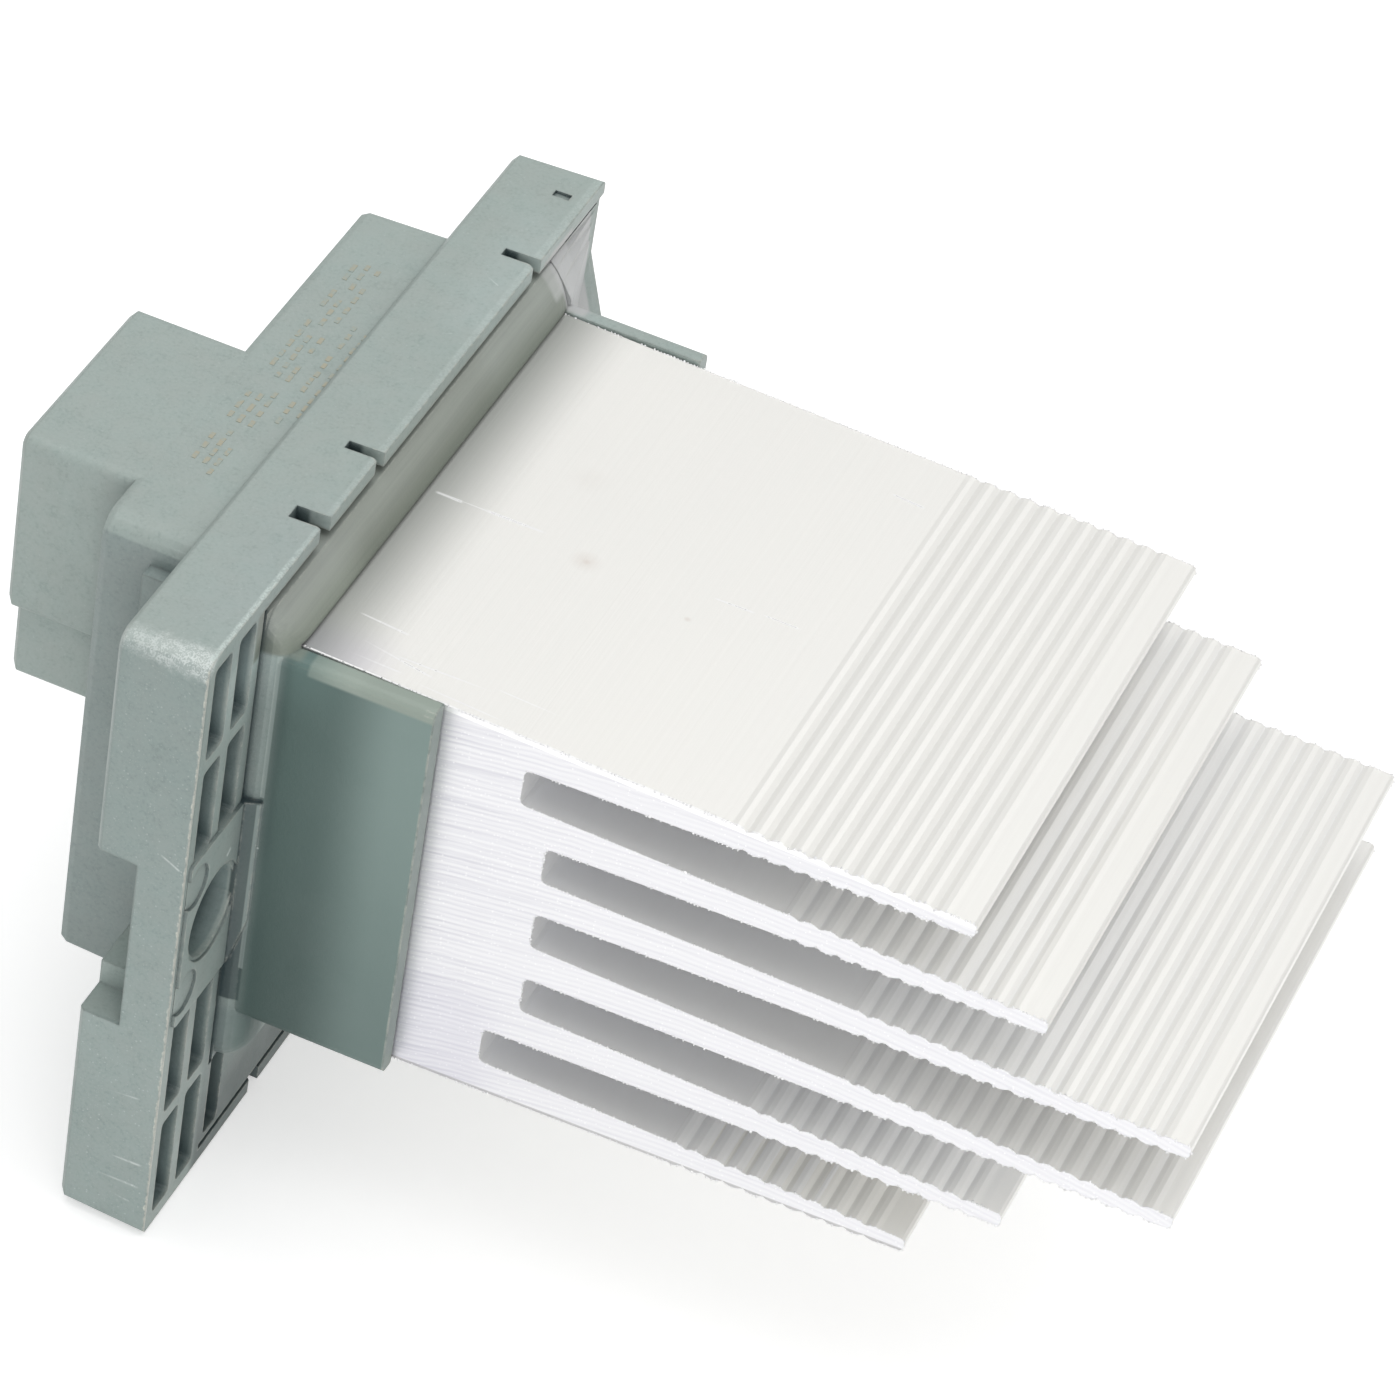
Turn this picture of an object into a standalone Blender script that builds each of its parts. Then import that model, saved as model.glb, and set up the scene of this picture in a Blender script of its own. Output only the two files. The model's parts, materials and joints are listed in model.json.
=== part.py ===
"""Blower motor resistor: a moulded flange housing with a finned aluminium heat sink.

The part keeps the frame it is fitted in. The flange seats on the plane X = 0, with the
origin at the middle of the flange. +X runs along the fins into the air duct, +Y along
the extrusion's sawn length, and +Z across the stack of fins.
"""

import math

import bmesh
import bpy
from mathutils import Vector

MM = 0.001

# Clearances between pieces.
SEAT_GAP = 0.3 * MM
HOLE_GAP = 0.35 * MM

# Flange: the bands that show round the plinth, and the deep rim.
END_BAND_NEAR = 10.4 * MM
END_BAND_FAR = 9.1 * MM
TOP_BAND = 2.14 * MM
LOW_BAND = 11.14 * MM
FLANGE_DEPTH = 7.8 * MM
FLANGE_CORNER = 1.3 * MM
FLANGE_EDGE = 0.4 * MM
RIM_WALL = 1.4 * MM
RIM_DRAFT = 0.24 * MM

# Slits that part the rim's lip, measured from the flange's middle, and the lip's tabs.
SLIT_WIDTHS = (1.6 * MM, 1.0 * MM, 1.0 * MM)
SLIT_DEPTH = 2.9 * MM
SLIT_FLARE = 0.45 * MM
SLIT_CENTRES = (-16.65 * MM, -6.83 * MM, 23.2 * MM)
TAB_RISES = (0.0 * MM, 0.05 * MM, 0.2 * MM, 0.3 * MM)
NOTCH_INSET = 4.05 * MM
NOTCH_WIDTH = 0.8 * MM
NOTCH_DEPTH = 0.35 * MM
NOTCH_START = 2.7 * MM
NOTCH_END = 1.2 * MM

# Screw bosses at both ends of the flange.
SCREW_INSET = 6.0 * MM
BOSS_CENTRE = 0.9 * MM
SCREW_HOLE_RADIUS = 2.95 * MM
LOCATING_RADIUS = 3.95 * MM
LOCATING_DEPTH = 2.3 * MM
RING_WIDTH = 0.35 * MM
RING_DEPTH = 0.2 * MM
BOSS_HALF_HEIGHT = 8.65 * MM
BOSS_RISE = 0.3 * MM
BOSS_FLOOR = 4.15 * MM
RECESS_CENTRE = -0.4 * MM
RECESS_STEP = 2.4 * MM
RECESS_STEP_REACH = 3.8 * MM
EJECTOR_RADIUS = 2.0 * MM
EJECTOR_DEPTH = 0.25 * MM
EJECTOR_RISE = 5.7 * MM
GUSSET_RISE = 1.2 * MM
GUSSET_SLOPE = 4.6 * MM
EJECTOR_INSET = 2.05 * MM

# Lattice of pockets between the bosses and the corners.
LATTICE_RIB = 1.3 * MM
LATTICE_DEPTH = 2.9 * MM
GROOVE_WIDTH = 0.6 * MM
POCKET_CORNER = 0.4 * MM
CORING_WALL = 2.0 * MM
CORING_RIB = 1.6 * MM
CORING_COUNT = 7

# Locating lug that stands on the far wall's lip.
LUG_RISE = 3.4 * MM
LUG_TOP_MARGIN = 1.95 * MM
LUG_BASE_MARGIN = 2.26 * MM
WING_SHARE = 0.85

# Heat sink: one extrusion, sawn to length.
SINK_LENGTH = 50.0 * MM
SINK_HALF_HEIGHT = 19.26 * MM
SINK_ROOT = 2.46 * MM
PLUG_INSET = 1.86 * MM
PLUG_FACE = 4.0 * MM
SHOULDER = 0.6 * MM
FIN_ROOT_MARGIN = 1.935 * MM
FIN_ROOT_THICKNESS = 3.39 * MM
FIN_PITCH_TAPER = 0.33 * MM
FIN_TIP_SPREAD = 0.55 * MM
SLOT_FILLET = 0.5 * MM
FIN_TIP_THICKNESS = 1.3 * MM
OUTER_FIN_REACH = 59.3 * MM
MIDDLE_FIN_REACH = 66.4 * MM
INNER_FIN_REACH = 79.5 * MM
OUTER_SLOT_FLOOR = 21.8 * MM
INNER_SLOT_DEEPER = 2.7 * MM
OUTER_RIB_START = 38.4 * MM
MIDDLE_RIB_START = 43.8 * MM
INNER_RIB_START = 50.7 * MM
RIB_PITCH = 1.74 * MM
RIB_CREST = 0.08 * MM
RIB_VALLEY = 0.2 * MM
RIB_STEPS = 4

# Plinth and tongues that hold the heat sink.
PLINTH_MARGIN_Y = 2.3 * MM
PLINTH_MARGIN_TOP = 3.8 * MM
PLINTH_MARGIN_LOW = 5.6 * MM
PLINTH_ROUND = 2.0 * MM
PLINTH_SWEEP = 3.2 * MM
PLINTH_ROUND_RISE = 2.3 * MM
TONGUE_REACH = 14.6 * MM
TONGUE_WALL = 1.75 * MM
TONGUE_ROUND = 0.9 * MM
SNAP_HALF_HEIGHT = 4.0 * MM
SNAP_LENGTH = 2.6 * MM
SNAP_DEPTH = 0.8 * MM
SNAP_FROM_END = 3.6 * MM

# Body behind the flange.
BODY_PAST_NEAR = 0.1 * MM
BODY_SHORT_FAR = 1.85 * MM
BODY_BELOW_TOP = 0.9 * MM
BODY_PAST_LOW = 2.24 * MM
STOP_REACH = 1.2 * MM
STOP_PAST_FLANGE = 3.3 * MM
STOP_DROP = 3.0 * MM
STOP_HEIGHT = 9.0 * MM
BODY_BACK = 15.8 * MM
BODY_CORNER = 2.0 * MM
BODY_EDGE = 0.8 * MM
BODY_DRAFT = 0.28 * MM
BODY_WALL = 1.8 * MM
BODY_FLOOR = 1.3 * MM

# Connector shroud: a wide upper mouth and a narrower keyed one below it.
SHROUD_INSET = 5.75 * MM
SHROUD_WIDTH = 19.9 * MM
SHROUD_BELOW_TOP = 0.3 * MM
SHROUD_UPPER = 17.6 * MM
SHROUD_LOWER = 8.4 * MM
SHROUD_KEY_INSET = 2.0 * MM
SHROUD_LENGTH = 9.7 * MM
SHROUD_WALL = 1.45 * MM
SHROUD_FLOOR = 0.4 * MM
SHROUD_CORNER = 0.8 * MM
SHROUD_EDGE = 0.4 * MM
SHARP_CORNER = 0.6 * MM
CAVITY_CORNER = 1.6 * MM
CELL_WIDTH = 2.5 * MM
CELL_HEIGHT = 8.8 * MM

# Connector blades.
BLADE_THICKNESS = 0.8 * MM
BLADE_SETBACK = 2.4 * MM
BLADE_PAST_BOARD = 0.4 * MM
POWER_BLADE_WIDTH = 6.3 * MM
POWER_BLADE_SPREAD = 9.6 * MM
POWER_BLADE_DROP = 6.8 * MM
SIGNAL_BLADE_WIDTH = 2.8 * MM
SIGNAL_BLADE_SPREAD = 6.2 * MM
SIGNAL_BLADE_DROP = 6.4 * MM

# Circuit board and its pillars.
BOARD_BACK_GAP = 1.5 * MM
BOARD_THICKNESS = 1.6 * MM
BOARD_MARGIN = 0.8 * MM
BOARD_CORNER = 1.4 * MM
STANDOFF_ACROSS_FLATS = 4.5 * MM
STANDOFF_BORE = 1.6 * MM
STANDOFF_INSET_Y = 3.6 * MM
STANDOFF_DROP = 8.7 * MM
BOARD_SCREW_RADIUS = 1.25 * MM
BOARD_SCREW_LENGTH = 4.6 * MM
BOARD_SCREW_HEAD_RADIUS = 2.3 * MM
BOARD_SCREW_HEAD = 0.8 * MM

# Power transistors, their pads and the spring that clamps them.
TRANSISTOR_SPREAD = 21.0 * MM
CLAMP_SETBACK = 0.675 * MM
TRANSISTOR_WIDTH = 10.2 * MM
TRANSISTOR_BODY_HEIGHT = 9.0 * MM
TRANSISTOR_BODY_DEPTH = 3.0 * MM
TRANSISTOR_RISE = 4.8 * MM
TAB_THICKNESS = 1.3 * MM
TAB_HEIGHT = 15.6 * MM
TAB_HOLE_RADIUS = 1.8 * MM
PAD_THICKNESS = 0.3 * MM
PAD_MARGIN = 1.0 * MM
LEG_WIDTH = 0.8 * MM
LEG_PITCH = 2.54 * MM
LEG_DROP = 2.2 * MM
LEG_PAST_BOARD = 0.7 * MM
SPRING_THICKNESS = 0.5 * MM
SPRING_HEIGHT = 6.0 * MM
SPRING_FOOT = 4.0 * MM
SPRING_ARM_REACH = 7.0 * MM
CLAMP_SCREW_RADIUS = 1.5 * MM
CLAMP_SCREW_LENGTH = 7.0 * MM
CLAMP_SCREW_HEAD_RADIUS = 2.4 * MM
CLAMP_SCREW_HEAD = 1.8 * MM

# Leaded parts on the board.
WIRE_RADIUS = 0.4 * MM
CAPACITOR_RADIUS = 2.5 * MM
CAPACITOR_LENGTH = 10.5 * MM
CAPACITOR_BUNG = 1.6 * MM
CAPACITOR_MARGIN = 6.9 * MM
CAPACITOR_DROP = 3.7 * MM
CAPACITOR_LEAD_PITCH = 2.4 * MM
FUSE_RADIUS = 1.9 * MM
FUSE_LENGTH = 9.0 * MM
FUSE_GAP = 0.6 * MM
DIODE_RADIUS = 1.3 * MM
DIODE_LENGTH = 4.6 * MM
DIODE_MARGIN = 1.9 * MM
DIODE_GAP = 1.6 * MM
WIRE_RUN = 2.6 * MM
SHUNT_WIDTH = 3.0 * MM
SHUNT_THICKNESS = 0.8 * MM
SHUNT_SPAN = 9.0 * MM
SHUNT_RISE = 3.2 * MM
SHUNT_GAP = 6.7 * MM
SHUNT_DROP = 9.0 * MM

# Surface-mounted parts on the board.
CHIP_SPAN = 3.9 * MM
CHIP_LENGTH = 4.9 * MM
CHIP_DEPTH = 1.5 * MM
CHIP_LEG = 1.0 * MM
CHIP_LEG_PITCH = 1.27 * MM
CHIP_DROP = 14.0 * MM
SMALL_CHIP_LENGTH = 2.0 * MM
SMALL_CHIP_WIDTH = 1.25 * MM
SMALL_CHIP_DEPTH = 0.6 * MM
SMALL_CHIP_GAP = 2.0 * MM
GATE_RESISTOR_RISE = 4.5 * MM

# Soft strips on the heat sink's shoulders.
SEAL_THICKNESS = 1.0 * MM
SEAL_END_GAP = 1.0 * MM

PLASTIC = ("housing_plastic", (0.33, 0.39, 0.38, 1.0), 0.55, 0.0)
ALUMINIUM = ("bare_aluminium", (0.83, 0.83, 0.82, 1.0), 0.35, 1.0)
FIBREGLASS = ("board_fibreglass", (0.08, 0.24, 0.12, 1.0), 0.5, 0.0)
EPOXY = ("transistor_epoxy", (0.03, 0.03, 0.03, 1.0), 0.6, 0.0)
TINNED = ("tinned_copper", (0.75, 0.74, 0.71, 1.0), 0.3, 1.0)
SPRING_STEEL = ("spring_steel", (0.45, 0.45, 0.47, 1.0), 0.35, 1.0)
ZINC_STEEL = ("zinc_plated_steel", (0.68, 0.68, 0.66, 1.0), 0.35, 1.0)
BRASS = ("turned_brass", (0.72, 0.55, 0.26, 1.0), 0.35, 1.0)
SILICONE = ("silicone_rubber", (0.16, 0.16, 0.17, 1.0), 0.8, 0.0)
THERMAL_PAD = ("thermal_pad", (0.55, 0.56, 0.58, 1.0), 0.8, 0.0)
CERAMIC = ("chip_ceramic", (0.42, 0.33, 0.22, 1.0), 0.5, 0.0)
GLASS_BEAD = ("diode_glass", (0.55, 0.2, 0.1, 1.0), 0.2, 0.0)
SLEEVE = ("capacitor_sleeve", (0.06, 0.08, 0.16, 1.0), 0.4, 0.0)


def clear_scene():
    """Remove every object of the open file."""
    for item in list(bpy.data.objects):
        bpy.data.objects.remove(item, do_unlink=True)


def material(finish):
    """Return the Principled material of a finish, made once."""
    name, colour, roughness, metallic = finish
    if name in bpy.data.materials:
        return bpy.data.materials[name]
    result = bpy.data.materials.new(name)
    result.use_nodes = True
    shader = result.node_tree.nodes["Principled BSDF"]
    shader.inputs["Base Color"].default_value = colour
    shader.inputs["Roughness"].default_value = roughness
    shader.inputs["Metallic"].default_value = metallic
    return result


def rectangle(low_a, low_b, high_a, high_b):
    """Return a rectangle's corners, anticlockwise."""
    return [(low_a, low_b), (high_a, low_b), (high_a, high_b), (low_a, high_b)]


def circle(centre, radius, steps=24):
    """Return a circle as an outline whose flats touch the true radius."""
    outer = radius / math.cos(math.pi / steps)
    angles = [2 * math.pi * (index + 0.5) / steps for index in range(steps)]
    return [(centre[0] + outer * math.cos(a), centre[1] + outer * math.sin(a)) for a in angles]


def rounded(points, radii, steps=4):
    """Replace each corner of an outline with an arc of one radius, or of its own."""
    if not isinstance(radii, (list, tuple)):
        radii = [radii] * len(points)
    result = []
    for index, (point, radius) in enumerate(zip(points, radii)):
        corner = Vector(point)
        back = Vector(points[index - 1]) - corner
        ahead = Vector(points[(index + 1) % len(points)]) - corner
        half = back.angle(ahead) / 2
        reach = min(radius / math.tan(half), 0.48 * min(back.length, ahead.length))
        start = back.normalized() * reach
        end = ahead.normalized() * reach
        centre = (start + end) / (2 * math.cos(half) ** 2)
        first = start - centre
        last = end - centre
        turn = math.pi - 2 * half
        for step in range(steps + 1):
            angle = turn * step / steps
            blend_first = math.sin(turn - angle) / math.sin(turn)
            blend_last = math.sin(angle) / math.sin(turn)
            spot = corner + centre + first * blend_first + last * blend_last
            result.append((spot.x, spot.y))
    return result


def place(axis, height, a, b):
    """Turn a height along an axis and two outline coordinates into a point."""
    if axis == "X":
        return Vector((height, a, b))
    if axis == "Y":
        return Vector((a, height, b))
    return Vector((a, b, height))


def loft(axis, sections):
    """Skin outlines of equal count along an axis into one closed mesh."""
    mesh = bpy.data.meshes.new("loft")
    work = bmesh.new()
    rings = []
    for height, outline in sections:
        rings.append([work.verts.new(place(axis, height, a, b)) for a, b in outline])
    for lower, upper in zip(rings, rings[1:]):
        for index in range(len(lower)):
            following = (index + 1) % len(lower)
            work.faces.new((lower[index], lower[following], upper[following], upper[index]))
    work.faces.new(rings[0])
    work.faces.new(rings[-1])
    bmesh.ops.recalc_face_normals(work, faces=work.faces)
    work.to_mesh(mesh)
    work.free()
    return mesh


def prism(axis, low, high, outline):
    """Extrude one outline along an axis."""
    return loft(axis, [(low, outline), (high, outline)])


def box(low, high):
    """Return a block between two corners."""
    return prism("X", low[0], high[0], rectangle(low[1], low[2], high[1], high[2]))


def turned(centre, profile, steps=20):
    """Turn a profile of (x, radius) pairs about a line along X."""
    sections = [(x, circle(centre, radius, steps)) for x, radius in profile]
    return loft("X", sections)


def swept(points, radius, steps=8):
    """Carry a round wire along a path of points, with its ends closed."""
    mesh = bpy.data.meshes.new("wire")
    work = bmesh.new()
    rings = []
    side = Vector((0, 0, 1))
    for index, point in enumerate(points):
        before = point - points[index - 1] if index else points[1] - point
        after = points[index + 1] - point if index + 1 < len(points) else before
        along = (before.normalized() + after.normalized()).normalized()
        stretch = 1 / max(along.dot(before.normalized()), 0.5)
        out = side.cross(along).normalized()
        ring = []
        for step in range(steps):
            angle = 2 * math.pi * step / steps
            offset = out * math.cos(angle) * stretch + side * math.sin(angle)
            ring.append(work.verts.new(point + offset * radius))
        rings.append(ring)
    for lower, upper in zip(rings, rings[1:]):
        for index in range(steps):
            following = (index + 1) % steps
            work.faces.new((lower[index], lower[following], upper[following], upper[index]))
    work.faces.new(rings[0])
    work.faces.new(rings[-1])
    bmesh.ops.recalc_face_normals(work, faces=work.faces)
    work.to_mesh(mesh)
    work.free()
    return mesh


def gathered(meshes):
    """Gather separate closed meshes into one, for a tool with several islands."""
    result = bpy.data.meshes.new("gathered")
    work = bmesh.new()
    for mesh in meshes:
        work.from_mesh(mesh)
    work.to_mesh(result)
    work.free()
    return result


def piece(name, mesh, finish, parent):
    """Add a named sub-part with its material."""
    mesh.name = name
    mesh.materials.clear()
    mesh.materials.append(material(finish))
    result = bpy.data.objects.new(name, mesh)
    bpy.context.scene.collection.objects.link(result)
    result.parent = parent
    return result


def apply_tool(target, label, mesh, operation):
    """Join a guide shape to a piece, or cut it away, with an exact Boolean."""
    guide = bpy.data.objects.new(target.name + "_" + label, mesh)
    bpy.context.scene.collection.objects.link(guide)
    guide.parent = target.parent
    guide.hide_render = True
    guide.display_type = "WIRE"
    step = target.modifiers.new(label, "BOOLEAN")
    step.operation = operation
    step.solver = "EXACT"
    step.object = guide


def join(target, label, mesh):
    """Weld a shape onto a piece."""
    apply_tool(target, label, mesh, "UNION")


def cut(target, label, mesh):
    """Cut a shape out of a piece."""
    apply_tool(target, label, mesh, "DIFFERENCE")


# Places that several pieces share.
SINK_OFFSET_Y = (END_BAND_NEAR - END_BAND_FAR) / 2
SINK_OFFSET_Z = (LOW_BAND + PLINTH_MARGIN_LOW - TOP_BAND - PLINTH_MARGIN_TOP) / 2
SINK_NEAR = SINK_OFFSET_Y - SINK_LENGTH / 2
SINK_FAR = SINK_OFFSET_Y + SINK_LENGTH / 2
PLINTH_NEAR = SINK_NEAR - PLINTH_MARGIN_Y
PLINTH_FAR = SINK_FAR + PLINTH_MARGIN_Y
PLINTH_TOP = SINK_OFFSET_Z + SINK_HALF_HEIGHT + PLINTH_MARGIN_TOP
PLINTH_LOW = SINK_OFFSET_Z - SINK_HALF_HEIGHT - PLINTH_MARGIN_LOW
FLANGE_HALF_WIDTH = PLINTH_FAR + END_BAND_FAR
FLANGE_HALF_HEIGHT = PLINTH_TOP + TOP_BAND
RIM_INNER_Y = FLANGE_HALF_WIDTH - RIM_WALL
RIM_INNER_Z = FLANGE_HALF_HEIGHT - RIM_WALL
NOTCH_CENTRE = FLANGE_HALF_WIDTH - NOTCH_INSET
SCREW_OFFSET = FLANGE_HALF_WIDTH - SCREW_INSET
EJECTOR_OFFSET = FLANGE_HALF_WIDTH - EJECTOR_INSET
BOSS_LOW = BOSS_CENTRE - BOSS_HALF_HEIGHT
BOSS_HIGH = BOSS_CENTRE + BOSS_HALF_HEIGHT
LUG_HALF_TOP = BOSS_HIGH + LUG_TOP_MARGIN
LUG_HALF_BASE = PLINTH_TOP - PLINTH_SWEEP - LUG_BASE_MARGIN
PLUG_HALF_HEIGHT = SINK_HALF_HEIGHT - PLUG_INSET
FIN_ROOT_PITCH = (SINK_HALF_HEIGHT - FIN_ROOT_MARGIN) / 2.5
FIN_TIP_PITCH = FIN_ROOT_PITCH - FIN_PITCH_TAPER
FIN_TIP_FIRST = FIN_TIP_PITCH / 2 + FIN_TIP_SPREAD
SLOT_HEIGHT = FIN_ROOT_PITCH - FIN_ROOT_THICKNESS
INNER_SLOT_FLOOR = OUTER_SLOT_FLOOR + INNER_SLOT_DEEPER
BODY_NEAR = -SINK_NEAR + BODY_PAST_NEAR
BODY_FAR = SINK_FAR - BODY_SHORT_FAR
BODY_TOP = FLANGE_HALF_HEIGHT - BODY_BELOW_TOP
BODY_LOW = SINK_HALF_HEIGHT - SINK_OFFSET_Z + BODY_PAST_LOW
CAVITY_BACK = -BODY_BACK + BODY_FLOOR
CAVITY_NEAR = -BODY_NEAR + BODY_WALL
CAVITY_FAR = BODY_FAR - BODY_WALL
CAVITY_TOP = BODY_TOP - BODY_WALL
CAVITY_LOW = -BODY_LOW + BODY_WALL
SHROUD_NEAR = BODY_NEAR - SHROUD_INSET
SHROUD_FAR = SHROUD_WIDTH - SHROUD_NEAR
SHROUD_TOP = BODY_TOP - SHROUD_BELOW_TOP
SHROUD_STEP = SHROUD_TOP - SHROUD_UPPER
SHROUD_LOW = SHROUD_STEP - SHROUD_LOWER
SHROUD_BACK = BODY_BACK + SHROUD_LENGTH
PIN_CENTRE_Y = (SHROUD_FAR - SHROUD_NEAR) / 2
POWER_BLADE_HEIGHT = SHROUD_TOP - POWER_BLADE_DROP
SIGNAL_BLADE_HEIGHT = POWER_BLADE_HEIGHT - SIGNAL_BLADE_DROP
BOARD_BACK = CAVITY_BACK + BOARD_BACK_GAP
BOARD_FACE = -BOARD_BACK - BOARD_THICKNESS
PAD_FACE = -PLUG_FACE - SEAT_GAP - PAD_THICKNESS
FRAME_FACE = PAD_FACE - SEAT_GAP - TAB_THICKNESS
TRANSISTOR_BACK = FRAME_FACE - SEAT_GAP - TRANSISTOR_BODY_DEPTH
CLAMP_Y = (CAVITY_NEAR + CAVITY_FAR) / 2 - CLAMP_SETBACK
TRANSISTOR_NEAR_Y = CLAMP_Y - TRANSISTOR_SPREAD / 2
TRANSISTOR_FAR_Y = CLAMP_Y + TRANSISTOR_SPREAD / 2
TRANSISTOR_LOW = SINK_OFFSET_Z - PLUG_HALF_HEIGHT + TRANSISTOR_RISE
TRANSISTOR_TOP = TRANSISTOR_LOW + TRANSISTOR_BODY_HEIGHT
GATE_RESISTOR_HEIGHT = TRANSISTOR_LOW + GATE_RESISTOR_RISE
CLAMP_Z = TRANSISTOR_LOW + TRANSISTOR_BODY_HEIGHT / 2
STANDOFF_HEIGHT = CAVITY_TOP - STANDOFF_DROP
CAPACITOR_HEIGHT = CAVITY_TOP - CAPACITOR_DROP
CAPACITOR_NEAR = CAVITY_FAR - CAPACITOR_MARGIN - WIRE_RUN - CAPACITOR_LENGTH
FUSE_CENTRE_Y = PIN_CENTRE_Y
FUSE_HEIGHT = TRANSISTOR_TOP + FUSE_GAP + FUSE_RADIUS
DIODE_CENTRE_Y = CAVITY_FAR - DIODE_MARGIN - WIRE_RUN - DIODE_LENGTH / 2
DIODE_HEIGHT = TRANSISTOR_TOP + DIODE_GAP + DIODE_RADIUS
SHUNT_CENTRE_Y = CAVITY_FAR - STANDOFF_INSET_Y - SHUNT_GAP - SHUNT_SPAN / 2
SHUNT_HEIGHT = CAVITY_TOP - SHUNT_DROP
CHIP_CENTRE_Y = SHUNT_CENTRE_Y
CHIP_HEIGHT = CAVITY_TOP - CHIP_DROP


def flange_outline(inset):
    """Return the flange's outline, drawn in by an inset."""
    half_y = FLANGE_HALF_WIDTH - inset
    half_z = FLANGE_HALF_HEIGHT - inset
    corners = rectangle(-half_y, -half_z, half_y, half_z)
    radii = (SHARP_CORNER, SHARP_CORNER, SHARP_CORNER, FLANGE_CORNER)
    return rounded(corners, radii, 5)


def flange_block():
    """Return the flange's drafted outer block, tall enough for the lip's highest tab."""
    top = max(max(TAB_RISES), BOSS_RISE) + 0.1 * MM
    return loft("X", [
        (-FLANGE_DEPTH, flange_outline(RIM_DRAFT + FLANGE_EDGE)),
        (-FLANGE_DEPTH + FLANGE_EDGE, flange_outline(RIM_DRAFT)),
        (top, flange_outline(0.0)),
    ])


def lip_edges():
    """Return the ends of the lip's tabs along Y, from near to far."""
    ends = [-FLANGE_HALF_WIDTH - MM]
    ends.extend(SLIT_CENTRES)
    ends.append(FLANGE_HALF_WIDTH + MM)
    return ends


def lip_trim():
    """Return the cutter that leaves each tab of the top lip at its own height."""
    ends = lip_edges()
    above = max(TAB_RISES) + 2 * MM
    outline = [(above, ends[-1]), (above, ends[0])]
    for index, rise in enumerate(TAB_RISES):
        outline.append((rise, ends[index]))
        outline.append((rise, ends[index + 1]))
    return prism("Z", RIM_INNER_Z, FLANGE_HALF_HEIGHT + MM, outline)


def face_trim():
    """Return the cutter that levels the flange's face below the top lip."""
    above = max(TAB_RISES) + 2 * MM
    reach = FLANGE_HALF_WIDTH + MM
    return box((0.0, -reach, -FLANGE_HALF_HEIGHT - MM), (above, reach, RIM_INNER_Z))


def slit_cuts():
    """Return the slits through the lip above and below, each flared at the near side of its mouth."""
    cuts = []
    for centre, width in zip(SLIT_CENTRES, SLIT_WIDTHS):
        near = centre - width / 2
        far = centre + width / 2
        above = 2 * MM
        outline = [
            (-SLIT_DEPTH, near), (-SLIT_FLARE, near), (-0.35 * SLIT_FLARE, near - 0.2 * SLIT_FLARE),
            (0.15 * SLIT_FLARE, near - 0.7 * SLIT_FLARE), (above, near - above), (above, far),
            (-SLIT_DEPTH, far),
        ]
        for low, high in ((RIM_INNER_Z - GROOVE_WIDTH / 2, FLANGE_HALF_HEIGHT + MM),
                          (-FLANGE_HALF_HEIGHT - MM, -RIM_INNER_Z + GROOVE_WIDTH / 2)):
            cuts.append(prism("Z", low, high, outline))
    notch_low = FLANGE_HALF_HEIGHT - NOTCH_DEPTH
    cuts.append(box((-NOTCH_START, NOTCH_CENTRE - NOTCH_WIDTH / 2, notch_low),
                    (-NOTCH_END, NOTCH_CENTRE + NOTCH_WIDTH / 2, FLANGE_HALF_HEIGHT + MM)))
    return gathered(cuts)


def lattice_columns(side):
    """Return the two columns of pockets between the rim's end wall and the plinth."""
    inner = PLINTH_FAR if side > 0 else -PLINTH_NEAR
    start = inner + GROOVE_WIDTH + LATTICE_RIB
    width = (RIM_INNER_Y - start - LATTICE_RIB) / 2
    columns = []
    for index in range(2):
        low = start + index * (width + LATTICE_RIB)
        high = low + width
        columns.append((low, high) if side > 0 else (-high, -low))
    return columns


def lattice_rows(side):
    """Return the rows of pockets below the screw boss, and above it at the near end."""
    rows = []
    spans = [(-RIM_INNER_Z, BOSS_LOW)]
    if side < 0:
        spans.append((BOSS_HIGH, RIM_INNER_Z))
    for start, end in spans:
        span = (end - start - LATTICE_RIB) / 2
        rows.append((start, start + span))
        rows.append((end - span, end))
    return rows


def pocket_cuts():
    """Return the lattice's pockets, the grooves round the plinth and the low cells."""
    floor = -LATTICE_DEPTH
    cuts = []
    for side in (-1, 1):
        for near, far in lattice_columns(side):
            for low, high in lattice_rows(side):
                outline = rounded(rectangle(near, low, far, high), POCKET_CORNER, 2)
                cuts.append(prism("X", floor, MM, outline))
    for side, edge in ((-1, PLINTH_NEAR), (1, PLINTH_FAR)):
        near, far = sorted((edge, edge + side * GROOVE_WIDTH))
        cuts.append(box((floor, near, PLINTH_LOW), (MM, far, BOSS_LOW)))
        if side < 0:
            cuts.append(box((floor, near, BOSS_HIGH), (MM, far, PLINTH_TOP)))
        low = -RIM_INNER_Z + GROOVE_WIDTH + LATTICE_RIB / 2
        near, far = sorted((edge, edge - side * CELL_WIDTH))
        cell = rounded(rectangle(near, low, far, low + CELL_HEIGHT), POCKET_CORNER, 2)
        cuts.append(prism("X", floor, MM, cell))
    return gathered(cuts)


def band_grooves():
    """Return the long grooves between the plinth and the rim's top and bottom walls."""
    floor = -LATTICE_DEPTH
    near = PLINTH_NEAR - GROOVE_WIDTH
    low_wall = -RIM_INNER_Z
    top = box((floor, near, PLINTH_TOP), (MM, RIM_INNER_Y, RIM_INNER_Z))
    low = box((floor, near, low_wall), (MM, -near, low_wall + GROOVE_WIDTH))
    return gathered([top, low])


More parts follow.
